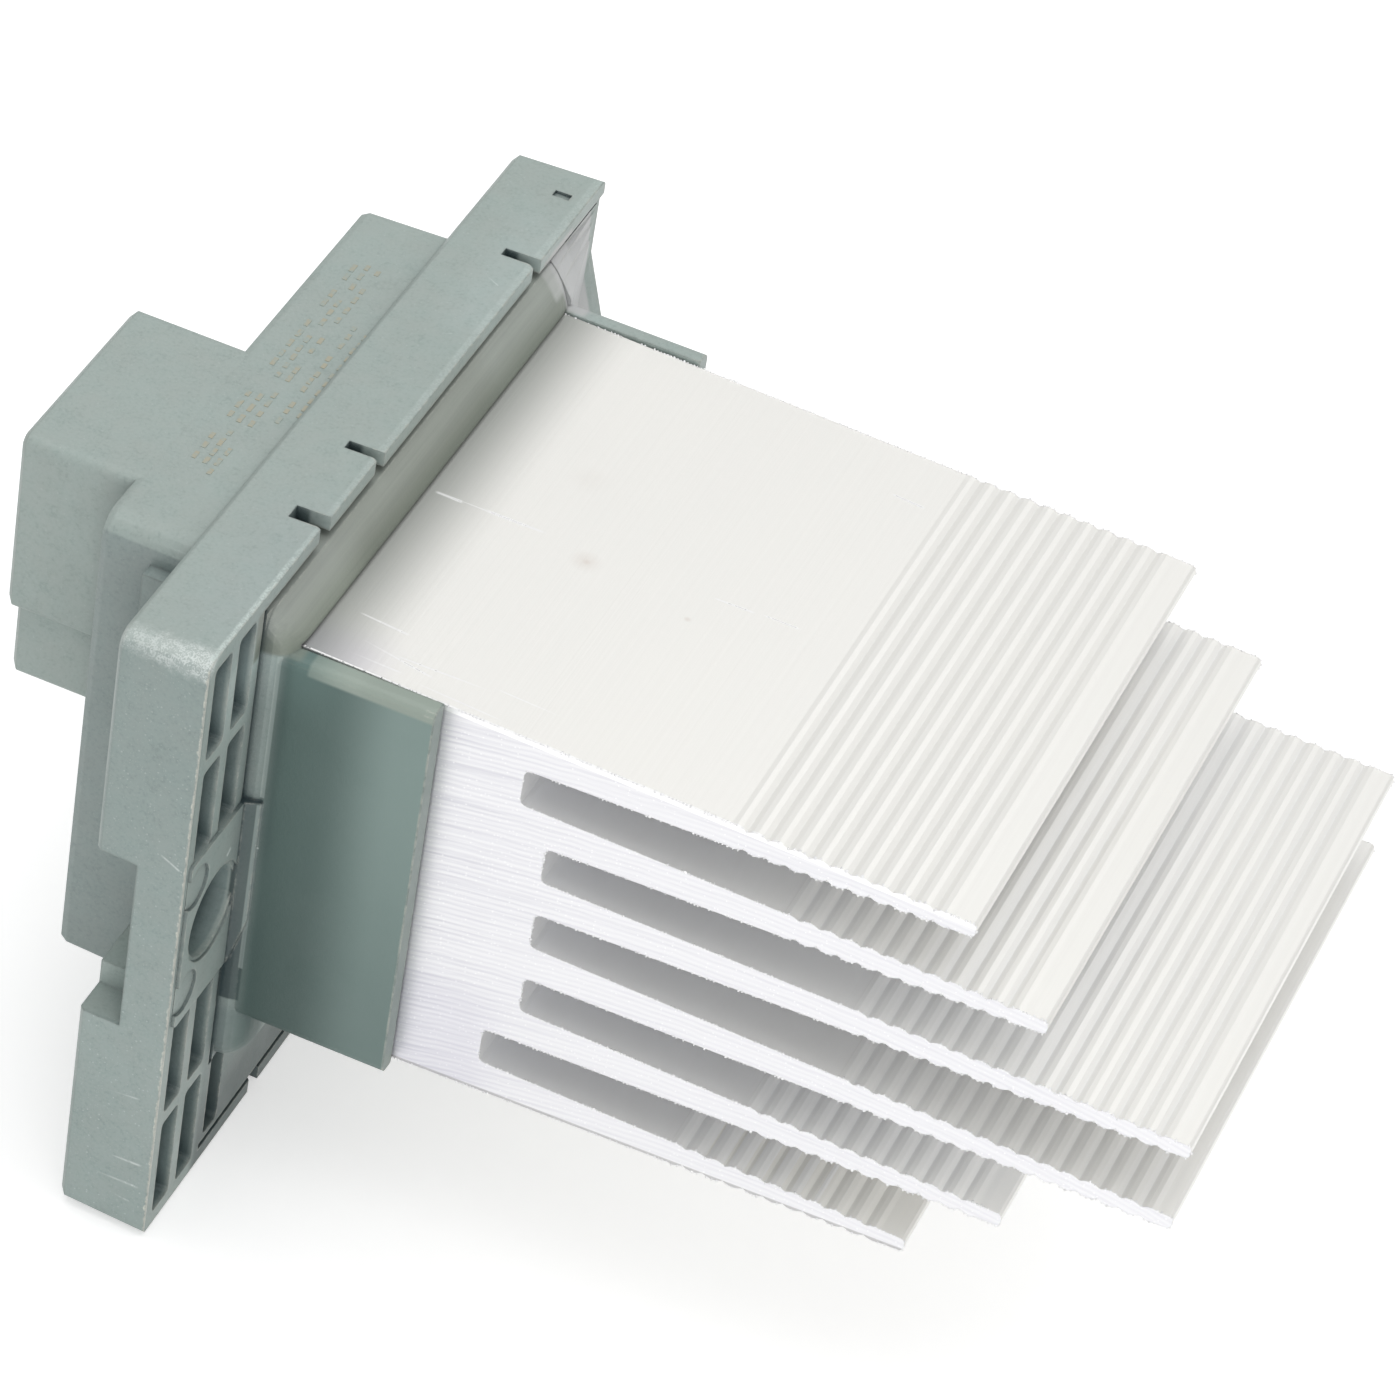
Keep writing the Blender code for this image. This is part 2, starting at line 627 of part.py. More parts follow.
def back_coring():
    """Return the pockets that core the flange from behind, below the body."""
    low = -FLANGE_HALF_HEIGHT + RIM_DRAFT + CORING_WALL
    high = -BODY_LOW - CORING_WALL
    far = FLANGE_HALF_WIDTH - RIM_DRAFT - CORING_WALL
    near = -far
    width = (far - near - (CORING_COUNT - 1) * CORING_RIB) / CORING_COUNT
    cuts = []
    for index in range(CORING_COUNT):
        start = near + index * (width + CORING_RIB)
        outline = rounded(rectangle(start, low, start + width, high), POCKET_CORNER, 2)
        cuts.append(prism("X", -FLANGE_DEPTH - MM, -LATTICE_DEPTH - CORING_RIB, outline))
    return gathered(cuts)


def screw_recesses():
    """Return the cuts behind both bosses that let a screw's head in."""
    cuts = []
    for side, body_wall in ((-1, BODY_NEAR), (1, BODY_FAR)):
        inner = side * (body_wall - MM)
        step = side * (FLANGE_HALF_WIDTH - RECESS_STEP_REACH)
        outer = side * (FLANGE_HALF_WIDTH + MM)
        low = RECESS_CENTRE - BOSS_HALF_HEIGHT
        high = RECESS_CENTRE + BOSS_HALF_HEIGHT
        outline = [(inner, low + RECESS_STEP), (step, low + RECESS_STEP), (step, low),
                   (outer, low), (outer, high), (inner, high)]
        cuts.append(prism("X", -FLANGE_DEPTH - MM, -BOSS_FLOOR, outline))
    return gathered(cuts)


def boss_pads():
    """Return the raised pads round both screw holes."""
    pads = []
    for side, edge in ((-1, -PLINTH_NEAR), (1, PLINTH_FAR)):
        near, far = sorted((side * (edge - MM), side * (RIM_INNER_Y + RIM_WALL / 2)))
        outline = rounded(rectangle(near, BOSS_LOW, far, BOSS_HIGH), POCKET_CORNER, 2)
        pads.append(prism("X", -BOSS_FLOOR / 2, BOSS_RISE, outline))
    return gathered(pads)


def boss_gussets():
    """Return the small gussets between the bosses and the plinth's end faces."""
    result = []
    for side, edge in ((-1, PLINTH_NEAR), (1, PLINTH_FAR)):
        outer = edge + side * GROOVE_WIDTH
        inner = edge - side * GROOVE_WIDTH
        foot = BOSS_LOW + GUSSET_SLOPE
        sections = []
        for z, low_share in ((BOSS_LOW, 0.0), (foot, 1.0), (BOSS_HIGH, 1.0)):
            rise = BOSS_RISE + GUSSET_RISE * low_share
            lip = BOSS_RISE + 0.05 * MM
            sections.append((z, [(-BOSS_FLOOR / 2, inner), (-BOSS_FLOOR / 2, outer), (lip, outer),
                                 (max(rise, lip), edge), (max(rise, lip), inner)]))
        result.append(loft("Z", sections))
    return gathered(result)


def boss_holes():
    """Return the screw holes."""
    holes = []
    for side in (-1, 1):
        outline = circle((side * SCREW_OFFSET, BOSS_CENTRE), SCREW_HOLE_RADIUS, 32)
        holes.append(prism("X", -FLANGE_DEPTH - MM, 2 * MM, outline))
    return gathered(holes)


def boss_locators():
    """Return the locating sockets round the holes and the marks of the ejector pins."""
    cuts = []
    for side in (-1, 1):
        ring = BOSS_RISE - RING_DEPTH
        profile = [(-LOCATING_DEPTH, LOCATING_RADIUS), (ring, LOCATING_RADIUS),
                   (ring + 0.01 * MM, LOCATING_RADIUS + RING_WIDTH),
                   (2 * MM, LOCATING_RADIUS + RING_WIDTH)]
        cuts.append(turned((side * SCREW_OFFSET, BOSS_CENTRE), profile, 32))
        for sign in (-1, 1):
            spot = (side * EJECTOR_OFFSET, BOSS_CENTRE + sign * EJECTOR_RISE)
            mark = circle(spot, EJECTOR_RADIUS, 20)
            cuts.append(prism("X", BOSS_RISE - EJECTOR_DEPTH, 2 * MM, mark))
    return gathered(cuts)


def far_lug():
    """Return the lug that stands on the far wall's lip and locates that end."""
    base = -LATTICE_DEPTH
    outline = [
        (base, -LUG_HALF_BASE), (0.0, -LUG_HALF_BASE), (LUG_RISE, -LUG_HALF_TOP),
        (LUG_RISE, LUG_HALF_TOP), (0.0, LUG_HALF_BASE), (base, LUG_HALF_BASE),
    ]
    outer = FLANGE_HALF_WIDTH - RIM_DRAFT / 4
    return prism("Y", RIM_INNER_Y, outer, outline)


def plinth_slope(share):
    """Return how high and how far in the plinth's sloped top edge is, from 0 to 1 along it."""
    height = SINK_ROOT - PLINTH_ROUND_RISE * (1 - share)
    return height, PLINTH_SWEEP * share ** 1.25


def plinth():
    """Return the raised plinth round the heat sink, sloped along its top edge."""
    corners = rectangle(PLINTH_NEAR, PLINTH_LOW, PLINTH_FAR, PLINTH_TOP)
    sections = [(-FLANGE_DEPTH / 2, rounded(corners, PLINTH_ROUND, 5))]
    steps = 6
    for step in range(steps + 1):
        angle = math.pi / 2 * step / steps
        inset = PLINTH_ROUND * (1 - math.cos(angle))
        height, sweep = plinth_slope(math.sin(angle))
        corners = rectangle(PLINTH_NEAR + inset, PLINTH_LOW + inset,
                            PLINTH_FAR - inset, PLINTH_TOP - sweep)
        sections.append((height, rounded(corners, PLINTH_ROUND, 5)))
    return loft("X", sections)


def plinth_wing():
    """Return the sloped web from the plinth's far end to the lug, above the screw boss."""
    floor = -LATTICE_DEPTH
    inner = SINK_FAR + SEAT_GAP + TONGUE_WALL / 2
    outer = RIM_INNER_Y + RIM_WALL / 2
    lip = 0.05 * MM
    step_down = 0.1 * MM
    stations = [(BOSS_HIGH, LUG_RISE), (LUG_HALF_TOP, LUG_RISE), (LUG_HALF_BASE, 0.0)]
    sections = []
    for z, rise in stations:
        edge = lip + rise * WING_SHARE
        root = SINK_ROOT - step_down
        sections.append((z, [(floor, inner), (floor, outer), (edge, outer), (root, inner)]))
    for share in (1.0, 0.6, 0.25, 0.0):
        height, sweep = plinth_slope(share)
        root = height - step_down
        sections.append((PLINTH_TOP - sweep, [(floor, inner), (floor, outer), (lip, outer), (root, inner)]))
    return loft("Z", sections)


def tongues():
    """Return the two tongues that clasp the heat sink's sawn ends."""
    low = SINK_OFFSET_Z - SINK_HALF_HEIGHT
    high = SINK_OFFSET_Z + SINK_HALF_HEIGHT
    result = []
    for side, edge in ((-1, SINK_NEAR), (1, SINK_FAR)):
        inner = edge + side * SEAT_GAP
        outer = inner + side * TONGUE_WALL
        back = inner - side * MM
        corners = [(inner, low), (outer, low), (outer, high), (inner, high)]
        outline = []
        for index, corner in enumerate(rounded(corners, TONGUE_ROUND, 3)):
            at_outer = abs(corner[0] - inner) > TONGUE_WALL / 2
            outline.append(corner if at_outer else None)
        arcs = [point for point in outline if point]
        shape = [(inner, low)] + arcs + [(inner, high)]
        result.append(prism("X", -FLANGE_DEPTH / 2, TONGUE_REACH, shape))
    return gathered(result)


def snap_ribs(grow):
    """Return the snap ribs inside the tongues, or their notches when grown by a gap."""
    result = []
    end = TONGUE_REACH - SNAP_FROM_END + grow
    start = TONGUE_REACH - SNAP_FROM_END - SNAP_LENGTH - grow
    for side, edge in ((-1, SINK_NEAR), (1, SINK_FAR)):
        root = edge + side * (SEAT_GAP + TONGUE_WALL / 2)
        tip = edge - side * (SNAP_DEPTH - SEAT_GAP + grow)
        near, far = sorted((root, tip))
        low = SINK_OFFSET_Z - SNAP_HALF_HEIGHT - grow
        high = SINK_OFFSET_Z + SNAP_HALF_HEIGHT + grow
        result.append(box((start, near, low), (end, far, high)))
    return gathered(result)


def side_stop():
    """Return the block on the body's near side that backs the flange."""
    near = -BODY_NEAR - STOP_REACH
    far = -BODY_NEAR + STOP_REACH
    high = BODY_TOP - STOP_DROP
    return box((-FLANGE_DEPTH - STOP_PAST_FLANGE, near, high - STOP_HEIGHT),
               (-LATTICE_DEPTH - LATTICE_RIB / 2, far, high))


def body_outline(inset):
    """Return the body's outline, drawn in by an inset."""
    corners = rectangle(-BODY_NEAR + inset, -BODY_LOW + inset, BODY_FAR - inset, BODY_TOP - inset)
    radii = (SHARP_CORNER, SHARP_CORNER, SHARP_CORNER, BODY_CORNER)
    return rounded(corners, radii, 5)


def body_block():
    """Return the body's outer block with its draft and softened back edge."""
    return loft("X", [
        (-BODY_BACK, body_outline(BODY_DRAFT + BODY_EDGE)),
        (-BODY_BACK + 0.3 * BODY_EDGE, body_outline(BODY_DRAFT + 0.3 * BODY_EDGE)),
        (-BODY_BACK + BODY_EDGE, body_outline(BODY_DRAFT)),
        (-LATTICE_DEPTH - LATTICE_RIB, body_outline(0.0)),
    ])


def shroud_outline(inset):
    """Return the connector's stepped outline, drawn in by an inset."""
    near = -SHROUD_NEAR + inset
    far = SHROUD_FAR - inset
    key_near = near + SHROUD_KEY_INSET
    key_far = far - SHROUD_KEY_INSET
    step = SHROUD_STEP + inset
    points = [
        (near, step), (key_near, step), (key_near, SHROUD_LOW + inset), (key_far, SHROUD_LOW + inset),
        (key_far, step), (far, step), (far, SHROUD_TOP - inset), (near, SHROUD_TOP - inset),
    ]
    return points


def shroud_block():
    """Return the connector shroud's outer block."""
    floor = -BODY_BACK + BODY_EDGE + BODY_FLOOR / 2
    return loft("X", [
        (-SHROUD_BACK, rounded(shroud_outline(SHROUD_EDGE), SHROUD_CORNER, 4)),
        (-SHROUD_BACK + SHROUD_EDGE, rounded(shroud_outline(0.0), SHROUD_CORNER, 4)),
        (floor, rounded(shroud_outline(0.0), SHROUD_CORNER, 4)),
    ])


def shroud_mouth():
    """Return the hollow of the connector shroud."""
    outline = rounded(shroud_outline(SHROUD_WALL), SHROUD_CORNER / 2, 3)
    return prism("X", -SHROUD_BACK - MM, -BODY_BACK - SHROUD_FLOOR, outline)


def board_cavity():
    """Return the hollow of the body that holds the board."""
    corners = rectangle(CAVITY_NEAR, CAVITY_LOW, CAVITY_FAR, CAVITY_TOP)
    outline = rounded(corners, CAVITY_CORNER, 4)
    return prism("X", CAVITY_BACK, -PLUG_FACE - SEAT_GAP, outline)


def sink_pocket():
    """Return the stepped pocket that takes the heat sink's base."""
    gap = SEAT_GAP
    seat = -SHOULDER - 2 * gap - SEAL_THICKNESS
    near = SINK_NEAR - gap
    far = SINK_FAR + gap
    low = SINK_OFFSET_Z - SINK_HALF_HEIGHT - gap
    high = SINK_OFFSET_Z + SINK_HALF_HEIGHT + gap
    return box((seat, near, low), (SINK_ROOT + MM, far, high))


def plug_pocket():
    """Return the narrower pocket behind the heat sink's shoulders."""
    gap = SEAT_GAP
    low = SINK_OFFSET_Z - PLUG_HALF_HEIGHT - gap
    high = SINK_OFFSET_Z + PLUG_HALF_HEIGHT + gap
    return box((-PLUG_FACE - gap - 0.5 * MM, SINK_NEAR - gap, low), (SINK_ROOT, SINK_FAR + gap, high))


def blades():
    """Return each connector blade's name, centre and width."""
    near = PIN_CENTRE_Y - POWER_BLADE_SPREAD / 2
    far = PIN_CENTRE_Y + POWER_BLADE_SPREAD / 2
    small_near = PIN_CENTRE_Y - SIGNAL_BLADE_SPREAD / 2
    small_far = PIN_CENTRE_Y + SIGNAL_BLADE_SPREAD / 2
    return [
        ("power_blade_near", near, POWER_BLADE_HEIGHT, POWER_BLADE_WIDTH),
        ("power_blade_far", far, POWER_BLADE_HEIGHT, POWER_BLADE_WIDTH),
        ("signal_blade_near", small_near, SIGNAL_BLADE_HEIGHT, SIGNAL_BLADE_WIDTH),
        ("signal_blade_far", small_far, SIGNAL_BLADE_HEIGHT, SIGNAL_BLADE_WIDTH),
    ]


def blade_slots(low, high, gap):
    """Return the slots that the connector blades pass through."""
    slots = []
    for _, centre_y, centre_z, width in blades():
        half_y = width / 2 + gap
        half_z = BLADE_THICKNESS / 2 + gap
        slots.append(box((low, centre_y - half_y, centre_z - half_z),
                         (high, centre_y + half_y, centre_z + half_z)))
    return gathered(slots)


def build_housing(parent):
    """Build the moulding: flange, plinth, tongues, body and connector shroud."""
    housing = piece("housing", flange_block(), PLASTIC, parent)
    cut(housing, "face_trim", face_trim())
    cut(housing, "lip_trim", lip_trim())
    cut(housing, "pockets", pocket_cuts())
    cut(housing, "band_grooves", band_grooves())
    cut(housing, "back_coring", back_coring())
    join(housing, "boss_pads", boss_pads())
    cut(housing, "screw_recesses", screw_recesses())
    cut(housing, "slits", slit_cuts())
    join(housing, "lug", far_lug())
    join(housing, "body", body_block())
    join(housing, "side_stop", side_stop())
    join(housing, "shroud", shroud_block())
    join(housing, "plinth", plinth())
    join(housing, "wing", plinth_wing())
    join(housing, "tongues", tongues())
    cut(housing, "locators", boss_locators())
    join(housing, "gussets", boss_gussets())
    cut(housing, "screw_holes", boss_holes())
    cut(housing, "cavity", board_cavity())
    cut(housing, "plug_pocket", plug_pocket())
    cut(housing, "sink_pocket", sink_pocket())
    join(housing, "snaps", snap_ribs(0.0))
    cut(housing, "mouth", shroud_mouth())
    slots = blade_slots(-BODY_BACK - SHROUD_FLOOR - MM, CAVITY_BACK + MM, SEAT_GAP)
    cut(housing, "blade_slots", slots)


def fin_tip_z(index):
    """Return a fin's centre at its tip, counted 0 to 5 from the lowest."""
    level = index - 2.5
    sign = 1 if level > 0 else -1
    return sign * (FIN_TIP_FIRST + FIN_TIP_PITCH * (abs(level) - 0.5))


def fin_class(index, choices):
    """Pick the outer, middle or inner fin's value."""
    return choices[min(index, 5 - index)]


def ribbed_face(start, end, rib_start, outward):
    """Return points from a fin's root to its tip along one face, with its fine ribs."""
    slope = (end[1] - start[1]) / (end[0] - start[0])
    count = int((end[0] - rib_start) / RIB_PITCH)
    points = [start]
    for rib in range(count):
        for step in range(RIB_STEPS):
            share = step / RIB_STEPS
            x = rib_start + (rib + share) * RIB_PITCH
            crest = (RIB_CREST + RIB_VALLEY) * math.sin(math.pi * share) - RIB_VALLEY
            level = 0.0 if rib == 0 and step == 0 else crest
            points.append((x, start[1] + slope * (x - start[0]) + outward * level))
    points.append(end)
    return points


def fin_tip(centre_z, reach):
    """Return the rounded nose between a fin's two faces, from below to above."""
    points = []
    for step in range(1, 4):
        angle = -math.pi / 2 + math.pi * step / 4
        half = FIN_TIP_THICKNESS / 2
        points.append((reach - half / 2 + half / 2 * math.cos(angle), centre_z + half * math.sin(angle)))
    return points


def slot_floor(x, low, high):
    """Return the filleted bottom of a slot, from its lower corner to its upper one."""
    corners = [(x + SLOT_FILLET, low), (x, low), (x, high), (x + SLOT_FILLET, high)]
    lower = [(x + SLOT_FILLET * 0.3, low + SLOT_FILLET * 0.3)]
    upper = [(x + SLOT_FILLET * 0.3, high - SLOT_FILLET * 0.3)]
    first = (x, low + SLOT_FILLET)
    last = (x, high - SLOT_FILLET)
    return [corners[0]] + lower + [first, last] + upper + [corners[3]]


def sink_outline():
    """Return the extrusion's section as (x, z) points, anticlockwise from its plug."""
    reaches = (OUTER_FIN_REACH, MIDDLE_FIN_REACH, INNER_FIN_REACH)
    starts = (OUTER_RIB_START, MIDDLE_RIB_START, INNER_RIB_START)
    half_root = (FIN_ROOT_PITCH - SLOT_HEIGHT) / 2
    half_tip = FIN_TIP_THICKNESS / 2
    outline = [(-PLUG_FACE, -PLUG_HALF_HEIGHT), (-SHOULDER, -PLUG_HALF_HEIGHT),
               (-SHOULDER, -SINK_HALF_HEIGHT)]
    for index in range(6):
        reach = fin_class(index, reaches)
        rib_start = fin_class(index, starts)
        nose = reach - half_tip / 2
        root_z = (index - 2.5) * FIN_ROOT_PITCH
        tip_z = fin_tip_z(index)
        below = OUTER_SLOT_FLOOR if index in (1, 5) else INNER_SLOT_FLOOR
        above = OUTER_SLOT_FLOOR if index in (0, 4) else INNER_SLOT_FLOOR
        low_root = (below + SLOT_FILLET, root_z - half_root)
        high_root = (above + SLOT_FILLET, root_z + half_root)
        if index == 0:
            low_root = (SINK_ROOT, -SINK_HALF_HEIGHT)
        if index == 5:
            high_root = (SINK_ROOT, SINK_HALF_HEIGHT)
        outline.extend(ribbed_face(low_root, (nose, tip_z - half_tip), rib_start, -1))
        outline.extend(fin_tip(tip_z, reach))
        outline.extend(reversed(ribbed_face(high_root, (nose, tip_z + half_tip), rib_start, 1)))
        if index < 5:
            low = root_z + half_root
            outline.extend(slot_floor(above, low, low + SLOT_HEIGHT)[1:-1])
    outline.extend([(-SHOULDER, SINK_HALF_HEIGHT), (-SHOULDER, PLUG_HALF_HEIGHT),
                    (-PLUG_FACE, PLUG_HALF_HEIGHT)])
    return [(x, z + SINK_OFFSET_Z) for x, z in outline]


def standoff_places():
    """Return the centres of both pillars."""
    near = CAVITY_NEAR + STANDOFF_INSET_Y
    far = CAVITY_FAR - STANDOFF_INSET_Y
    return [("near", (near, STANDOFF_HEIGHT)), ("far", (far, STANDOFF_HEIGHT))]


def build_heat_sink(parent):
    """Build the extrusion with its snap notches and the hole for the clamp screw."""
    mesh = prism("Y", SINK_NEAR, SINK_FAR, sink_outline())
    sink = piece("heat_sink", mesh, ALUMINIUM, parent)
    cut(sink, "notches", snap_ribs(SEAT_GAP))
    depth = -PLUG_FACE + CLAMP_SCREW_LENGTH + MM
    hole = circle((CLAMP_Y, CLAMP_Z), CLAMP_SCREW_RADIUS + HOLE_GAP, 20)
    cut(sink, "clamp_hole", prism("X", -PLUG_FACE - MM, depth, hole))


def build_seals(parent):
    """Build the soft strips between the housing's ledges and the sink's shoulders."""
    near = SINK_NEAR + SEAL_END_GAP
    far = SINK_FAR - SEAL_END_GAP
    back = -SHOULDER - SEAT_GAP - SEAL_THICKNESS
    front = -SHOULDER - SEAT_GAP
    inner = PLUG_HALF_HEIGHT + SEAT_GAP
    outer = SINK_HALF_HEIGHT - SEAT_GAP / 2
    for name, sign in (("seal_upper", 1), ("seal_lower", -1)):
        low, high = sorted((SINK_OFFSET_Z + sign * inner, SINK_OFFSET_Z + sign * outer))
        strip = prism("Y", near, far, rounded(rectangle(back, low, front, high), 0.3 * MM, 3))
        piece(name, strip, SILICONE, parent)


def leg_places():
    """Return the centre of every transistor leg where it passes the board."""
    places = []
    for centre in (TRANSISTOR_NEAR_Y, TRANSISTOR_FAR_Y):
        for index in (-1, 0, 1):
            places.append((centre + index * LEG_PITCH, TRANSISTOR_LOW - LEG_DROP))
    return places


def wire_places():
    """Return the centres of the leaded parts' wires where they pass the board."""
    fuse = FUSE_LENGTH / 2 + WIRE_RUN
    diode = DIODE_LENGTH / 2 + WIRE_RUN
    end = CAPACITOR_NEAR + CAPACITOR_LENGTH + WIRE_RUN
    half = CAPACITOR_LEAD_PITCH / 2
    return [
        (FUSE_CENTRE_Y - fuse, FUSE_HEIGHT), (FUSE_CENTRE_Y + fuse, FUSE_HEIGHT),
        (DIODE_CENTRE_Y - diode, DIODE_HEIGHT), (DIODE_CENTRE_Y + diode, DIODE_HEIGHT),
        (end, CAPACITOR_HEIGHT - half), (end, CAPACITOR_HEIGHT + half),
    ]


def board_cuts():
    """Return the board's holes for legs, wires, shunt, blades and screws."""
    low = BOARD_BACK - MM
    high = -BOARD_FACE + MM
    cuts = []
    half = LEG_WIDTH / 2 + HOLE_GAP
    for y, z in leg_places():
        cuts.append(box((low, y - half, z - half), (high, y + half, z + half)))
    for spot in wire_places():
        cuts.append(prism("X", low, high, circle(spot, WIRE_RADIUS + HOLE_GAP, 10)))
    for sign in (-1, 1):
        y = SHUNT_CENTRE_Y + sign * (SHUNT_SPAN - SHUNT_THICKNESS) / 2
        half_y = SHUNT_THICKNESS / 2 + HOLE_GAP
        half_z = SHUNT_WIDTH / 2 + HOLE_GAP
        cuts.append(box((low, y - half_y, SHUNT_HEIGHT - half_z),
                        (high, y + half_y, SHUNT_HEIGHT + half_z)))
    for _, spot in standoff_places():
        cuts.append(prism("X", low, high, circle(spot, BOARD_SCREW_RADIUS + HOLE_GAP, 16)))
    return gathered(cuts)


def build_board(parent):
    """Build the circuit board with its drilled and punched holes."""
    corners = rectangle(CAVITY_NEAR + BOARD_MARGIN, CAVITY_LOW + BOARD_MARGIN,
                        CAVITY_FAR - BOARD_MARGIN, CAVITY_TOP - BOARD_MARGIN)
    outline = rounded(corners, BOARD_CORNER, 4)
    board = piece("circuit_board", prism("X", BOARD_BACK, -BOARD_FACE, outline), FIBREGLASS, parent)
    cut(board, "holes", board_cuts())
    cut(board, "blade_slots", blade_slots(BOARD_BACK - MM, -BOARD_FACE + MM, SEAT_GAP))


def transistor_frame(centre):
    """Return a transistor's tab with its three formed legs as one stamping."""
    tab_low = TRANSISTOR_LOW
    tab_high = TRANSISTOR_LOW + TAB_HEIGHT
    half = TRANSISTOR_WIDTH / 2
    front = PAD_FACE - SEAT_GAP
    tab = rounded(rectangle(centre - half, tab_low, centre + half, tab_high), 0.5 * MM, 2)
    shapes = []
    leg_end = BOARD_BACK - LEG_PAST_BOARD
    leg_z = TRANSISTOR_LOW - LEG_DROP
    half_leg = LEG_WIDTH / 2
    bend = [
        (front - LEG_WIDTH, tab_low + MM), (front, tab_low + MM), (front, leg_z - half_leg),
        (leg_end, leg_z - half_leg), (leg_end, leg_z + half_leg), (front - LEG_WIDTH, leg_z + half_leg),
    ]
    for index in (-1, 0, 1):
        middle = centre + index * LEG_PITCH
        shapes.append(prism("Y", middle - half_leg, middle + half_leg, bend))
    return prism("X", FRAME_FACE, front, tab), gathered(shapes)


def build_transistors(parent):
    """Build both power transistors on their insulating pads."""
    for label, centre in (("near", TRANSISTOR_NEAR_Y), ("far", TRANSISTOR_FAR_Y)):
        half = TRANSISTOR_WIDTH / 2
        low = TRANSISTOR_LOW
        tab, legs = transistor_frame(centre)
        frame = piece("transistor_" + label + "_frame", tab, TINNED, parent)
        join(frame, "legs", legs)
        hole_z = low + TRANSISTOR_BODY_HEIGHT + (TAB_HEIGHT - TRANSISTOR_BODY_HEIGHT) / 2
        hole = circle((centre, hole_z), TAB_HOLE_RADIUS, 16)
        cut(frame, "tab_hole", prism("X", FRAME_FACE - MM, PAD_FACE, hole))
        back = TRANSISTOR_BACK
        wide = rectangle(centre - half, low, centre + half, low + TRANSISTOR_BODY_HEIGHT)
        slim = rectangle(centre - half + 0.5 * MM, low + 0.5 * MM,
                         centre + half - 0.5 * MM, low + TRANSISTOR_BODY_HEIGHT - 0.5 * MM)
        body = loft("X", [(back, slim), (back + 1.2 * MM, wide), (FRAME_FACE - SEAT_GAP, wide)])
        piece("transistor_" + label + "_body", body, EPOXY, parent)
        pad = rounded(rectangle(centre - half - PAD_MARGIN, low - PAD_MARGIN / 2,
                                centre + half + PAD_MARGIN, low + TAB_HEIGHT + PAD_MARGIN), 0.8 * MM, 3)
        sheet = prism("X", PAD_FACE, -PLUG_FACE - SEAT_GAP, pad)
        piece("thermal_pad_" + label, sheet, THERMAL_PAD, parent)


def spring_outline():
    """Return the clamp spring's bent strip as (x, y) points."""
    foot = -PLUG_FACE - SEAT_GAP
    arm = TRANSISTOR_BACK - SEAT_GAP
    thick = SPRING_THICKNESS
    near = TRANSISTOR_NEAR_Y + TRANSISTOR_WIDTH / 2
    far = TRANSISTOR_FAR_Y - TRANSISTOR_WIDTH / 2
    low = CLAMP_Y - SPRING_FOOT
    high = CLAMP_Y + SPRING_FOOT
    rise_near = near + SEAT_GAP + thick
    rise_far = far - SEAT_GAP - thick
    return [
        (foot, low), (foot, high), (arm, rise_far + thick), (arm, far + SPRING_ARM_REACH),
        (arm - thick, far + SPRING_ARM_REACH), (arm - thick, rise_far), (foot - thick, high - thick),
        (foot - thick, low + thick), (arm - thick, rise_near), (arm - thick, near - SPRING_ARM_REACH),
        (arm, near - SPRING_ARM_REACH), (arm, rise_near - thick),
    ]


def build_clamp(parent):
    """Build the clamp spring and the screw that pulls it down."""
    low = CLAMP_Z - SPRING_HEIGHT / 2
    high = CLAMP_Z + SPRING_HEIGHT / 2
    spring = piece("clamp_spring", prism("Z", low, high, spring_outline()), SPRING_STEEL, parent)
    hole = circle((CLAMP_Y, CLAMP_Z), CLAMP_SCREW_RADIUS + HOLE_GAP, 16)
    foot = -PLUG_FACE - SEAT_GAP
    cut(spring, "hole", prism("X", foot - SPRING_THICKNESS - 0.2 * MM, foot + 0.2 * MM, hole))
    seat = foot - SPRING_THICKNESS - SEAT_GAP
    tip = -PLUG_FACE + CLAMP_SCREW_LENGTH
    profile = [
        (seat - CLAMP_SCREW_HEAD, 0.6 * CLAMP_SCREW_HEAD_RADIUS),
        (seat - 0.5 * CLAMP_SCREW_HEAD, 0.95 * CLAMP_SCREW_HEAD_RADIUS),
        (seat, CLAMP_SCREW_HEAD_RADIUS), (seat + 0.01 * MM, CLAMP_SCREW_RADIUS),
        (tip - CLAMP_SCREW_RADIUS, CLAMP_SCREW_RADIUS), (tip, 0.4 * CLAMP_SCREW_RADIUS),
    ]
    piece("clamp_screw", turned((CLAMP_Y, CLAMP_Z), profile), ZINC_STEEL, parent)


def build_standoffs(parent):
    """Build the hexagonal pillars and the screws that hold the board on them."""
    foot = -PLUG_FACE - SEAT_GAP
    head = -BOARD_FACE + SEAT_GAP
    for label, spot in standoff_places():
        hexagon = circle(spot, STANDOFF_ACROSS_FLATS / 2, 6)
        pillar = piece("standoff_" + label, prism("X", head, foot, hexagon), BRASS, parent)
        bore = circle(spot, STANDOFF_BORE, 16)
        depth = BOARD_BACK - SEAT_GAP + BOARD_SCREW_LENGTH + MM
        cut(pillar, "bore", prism("X", head - MM, depth, bore))
        seat = BOARD_BACK - SEAT_GAP
        tip = seat + BOARD_SCREW_LENGTH
        profile = [
            (seat - BOARD_SCREW_HEAD, 0.8 * BOARD_SCREW_HEAD_RADIUS), (seat, BOARD_SCREW_HEAD_RADIUS),
            (seat + 0.01 * MM, BOARD_SCREW_RADIUS), (tip, BOARD_SCREW_RADIUS),
        ]
        piece("board_screw_" + label, turned(spot, profile, 16), ZINC_STEEL, parent)


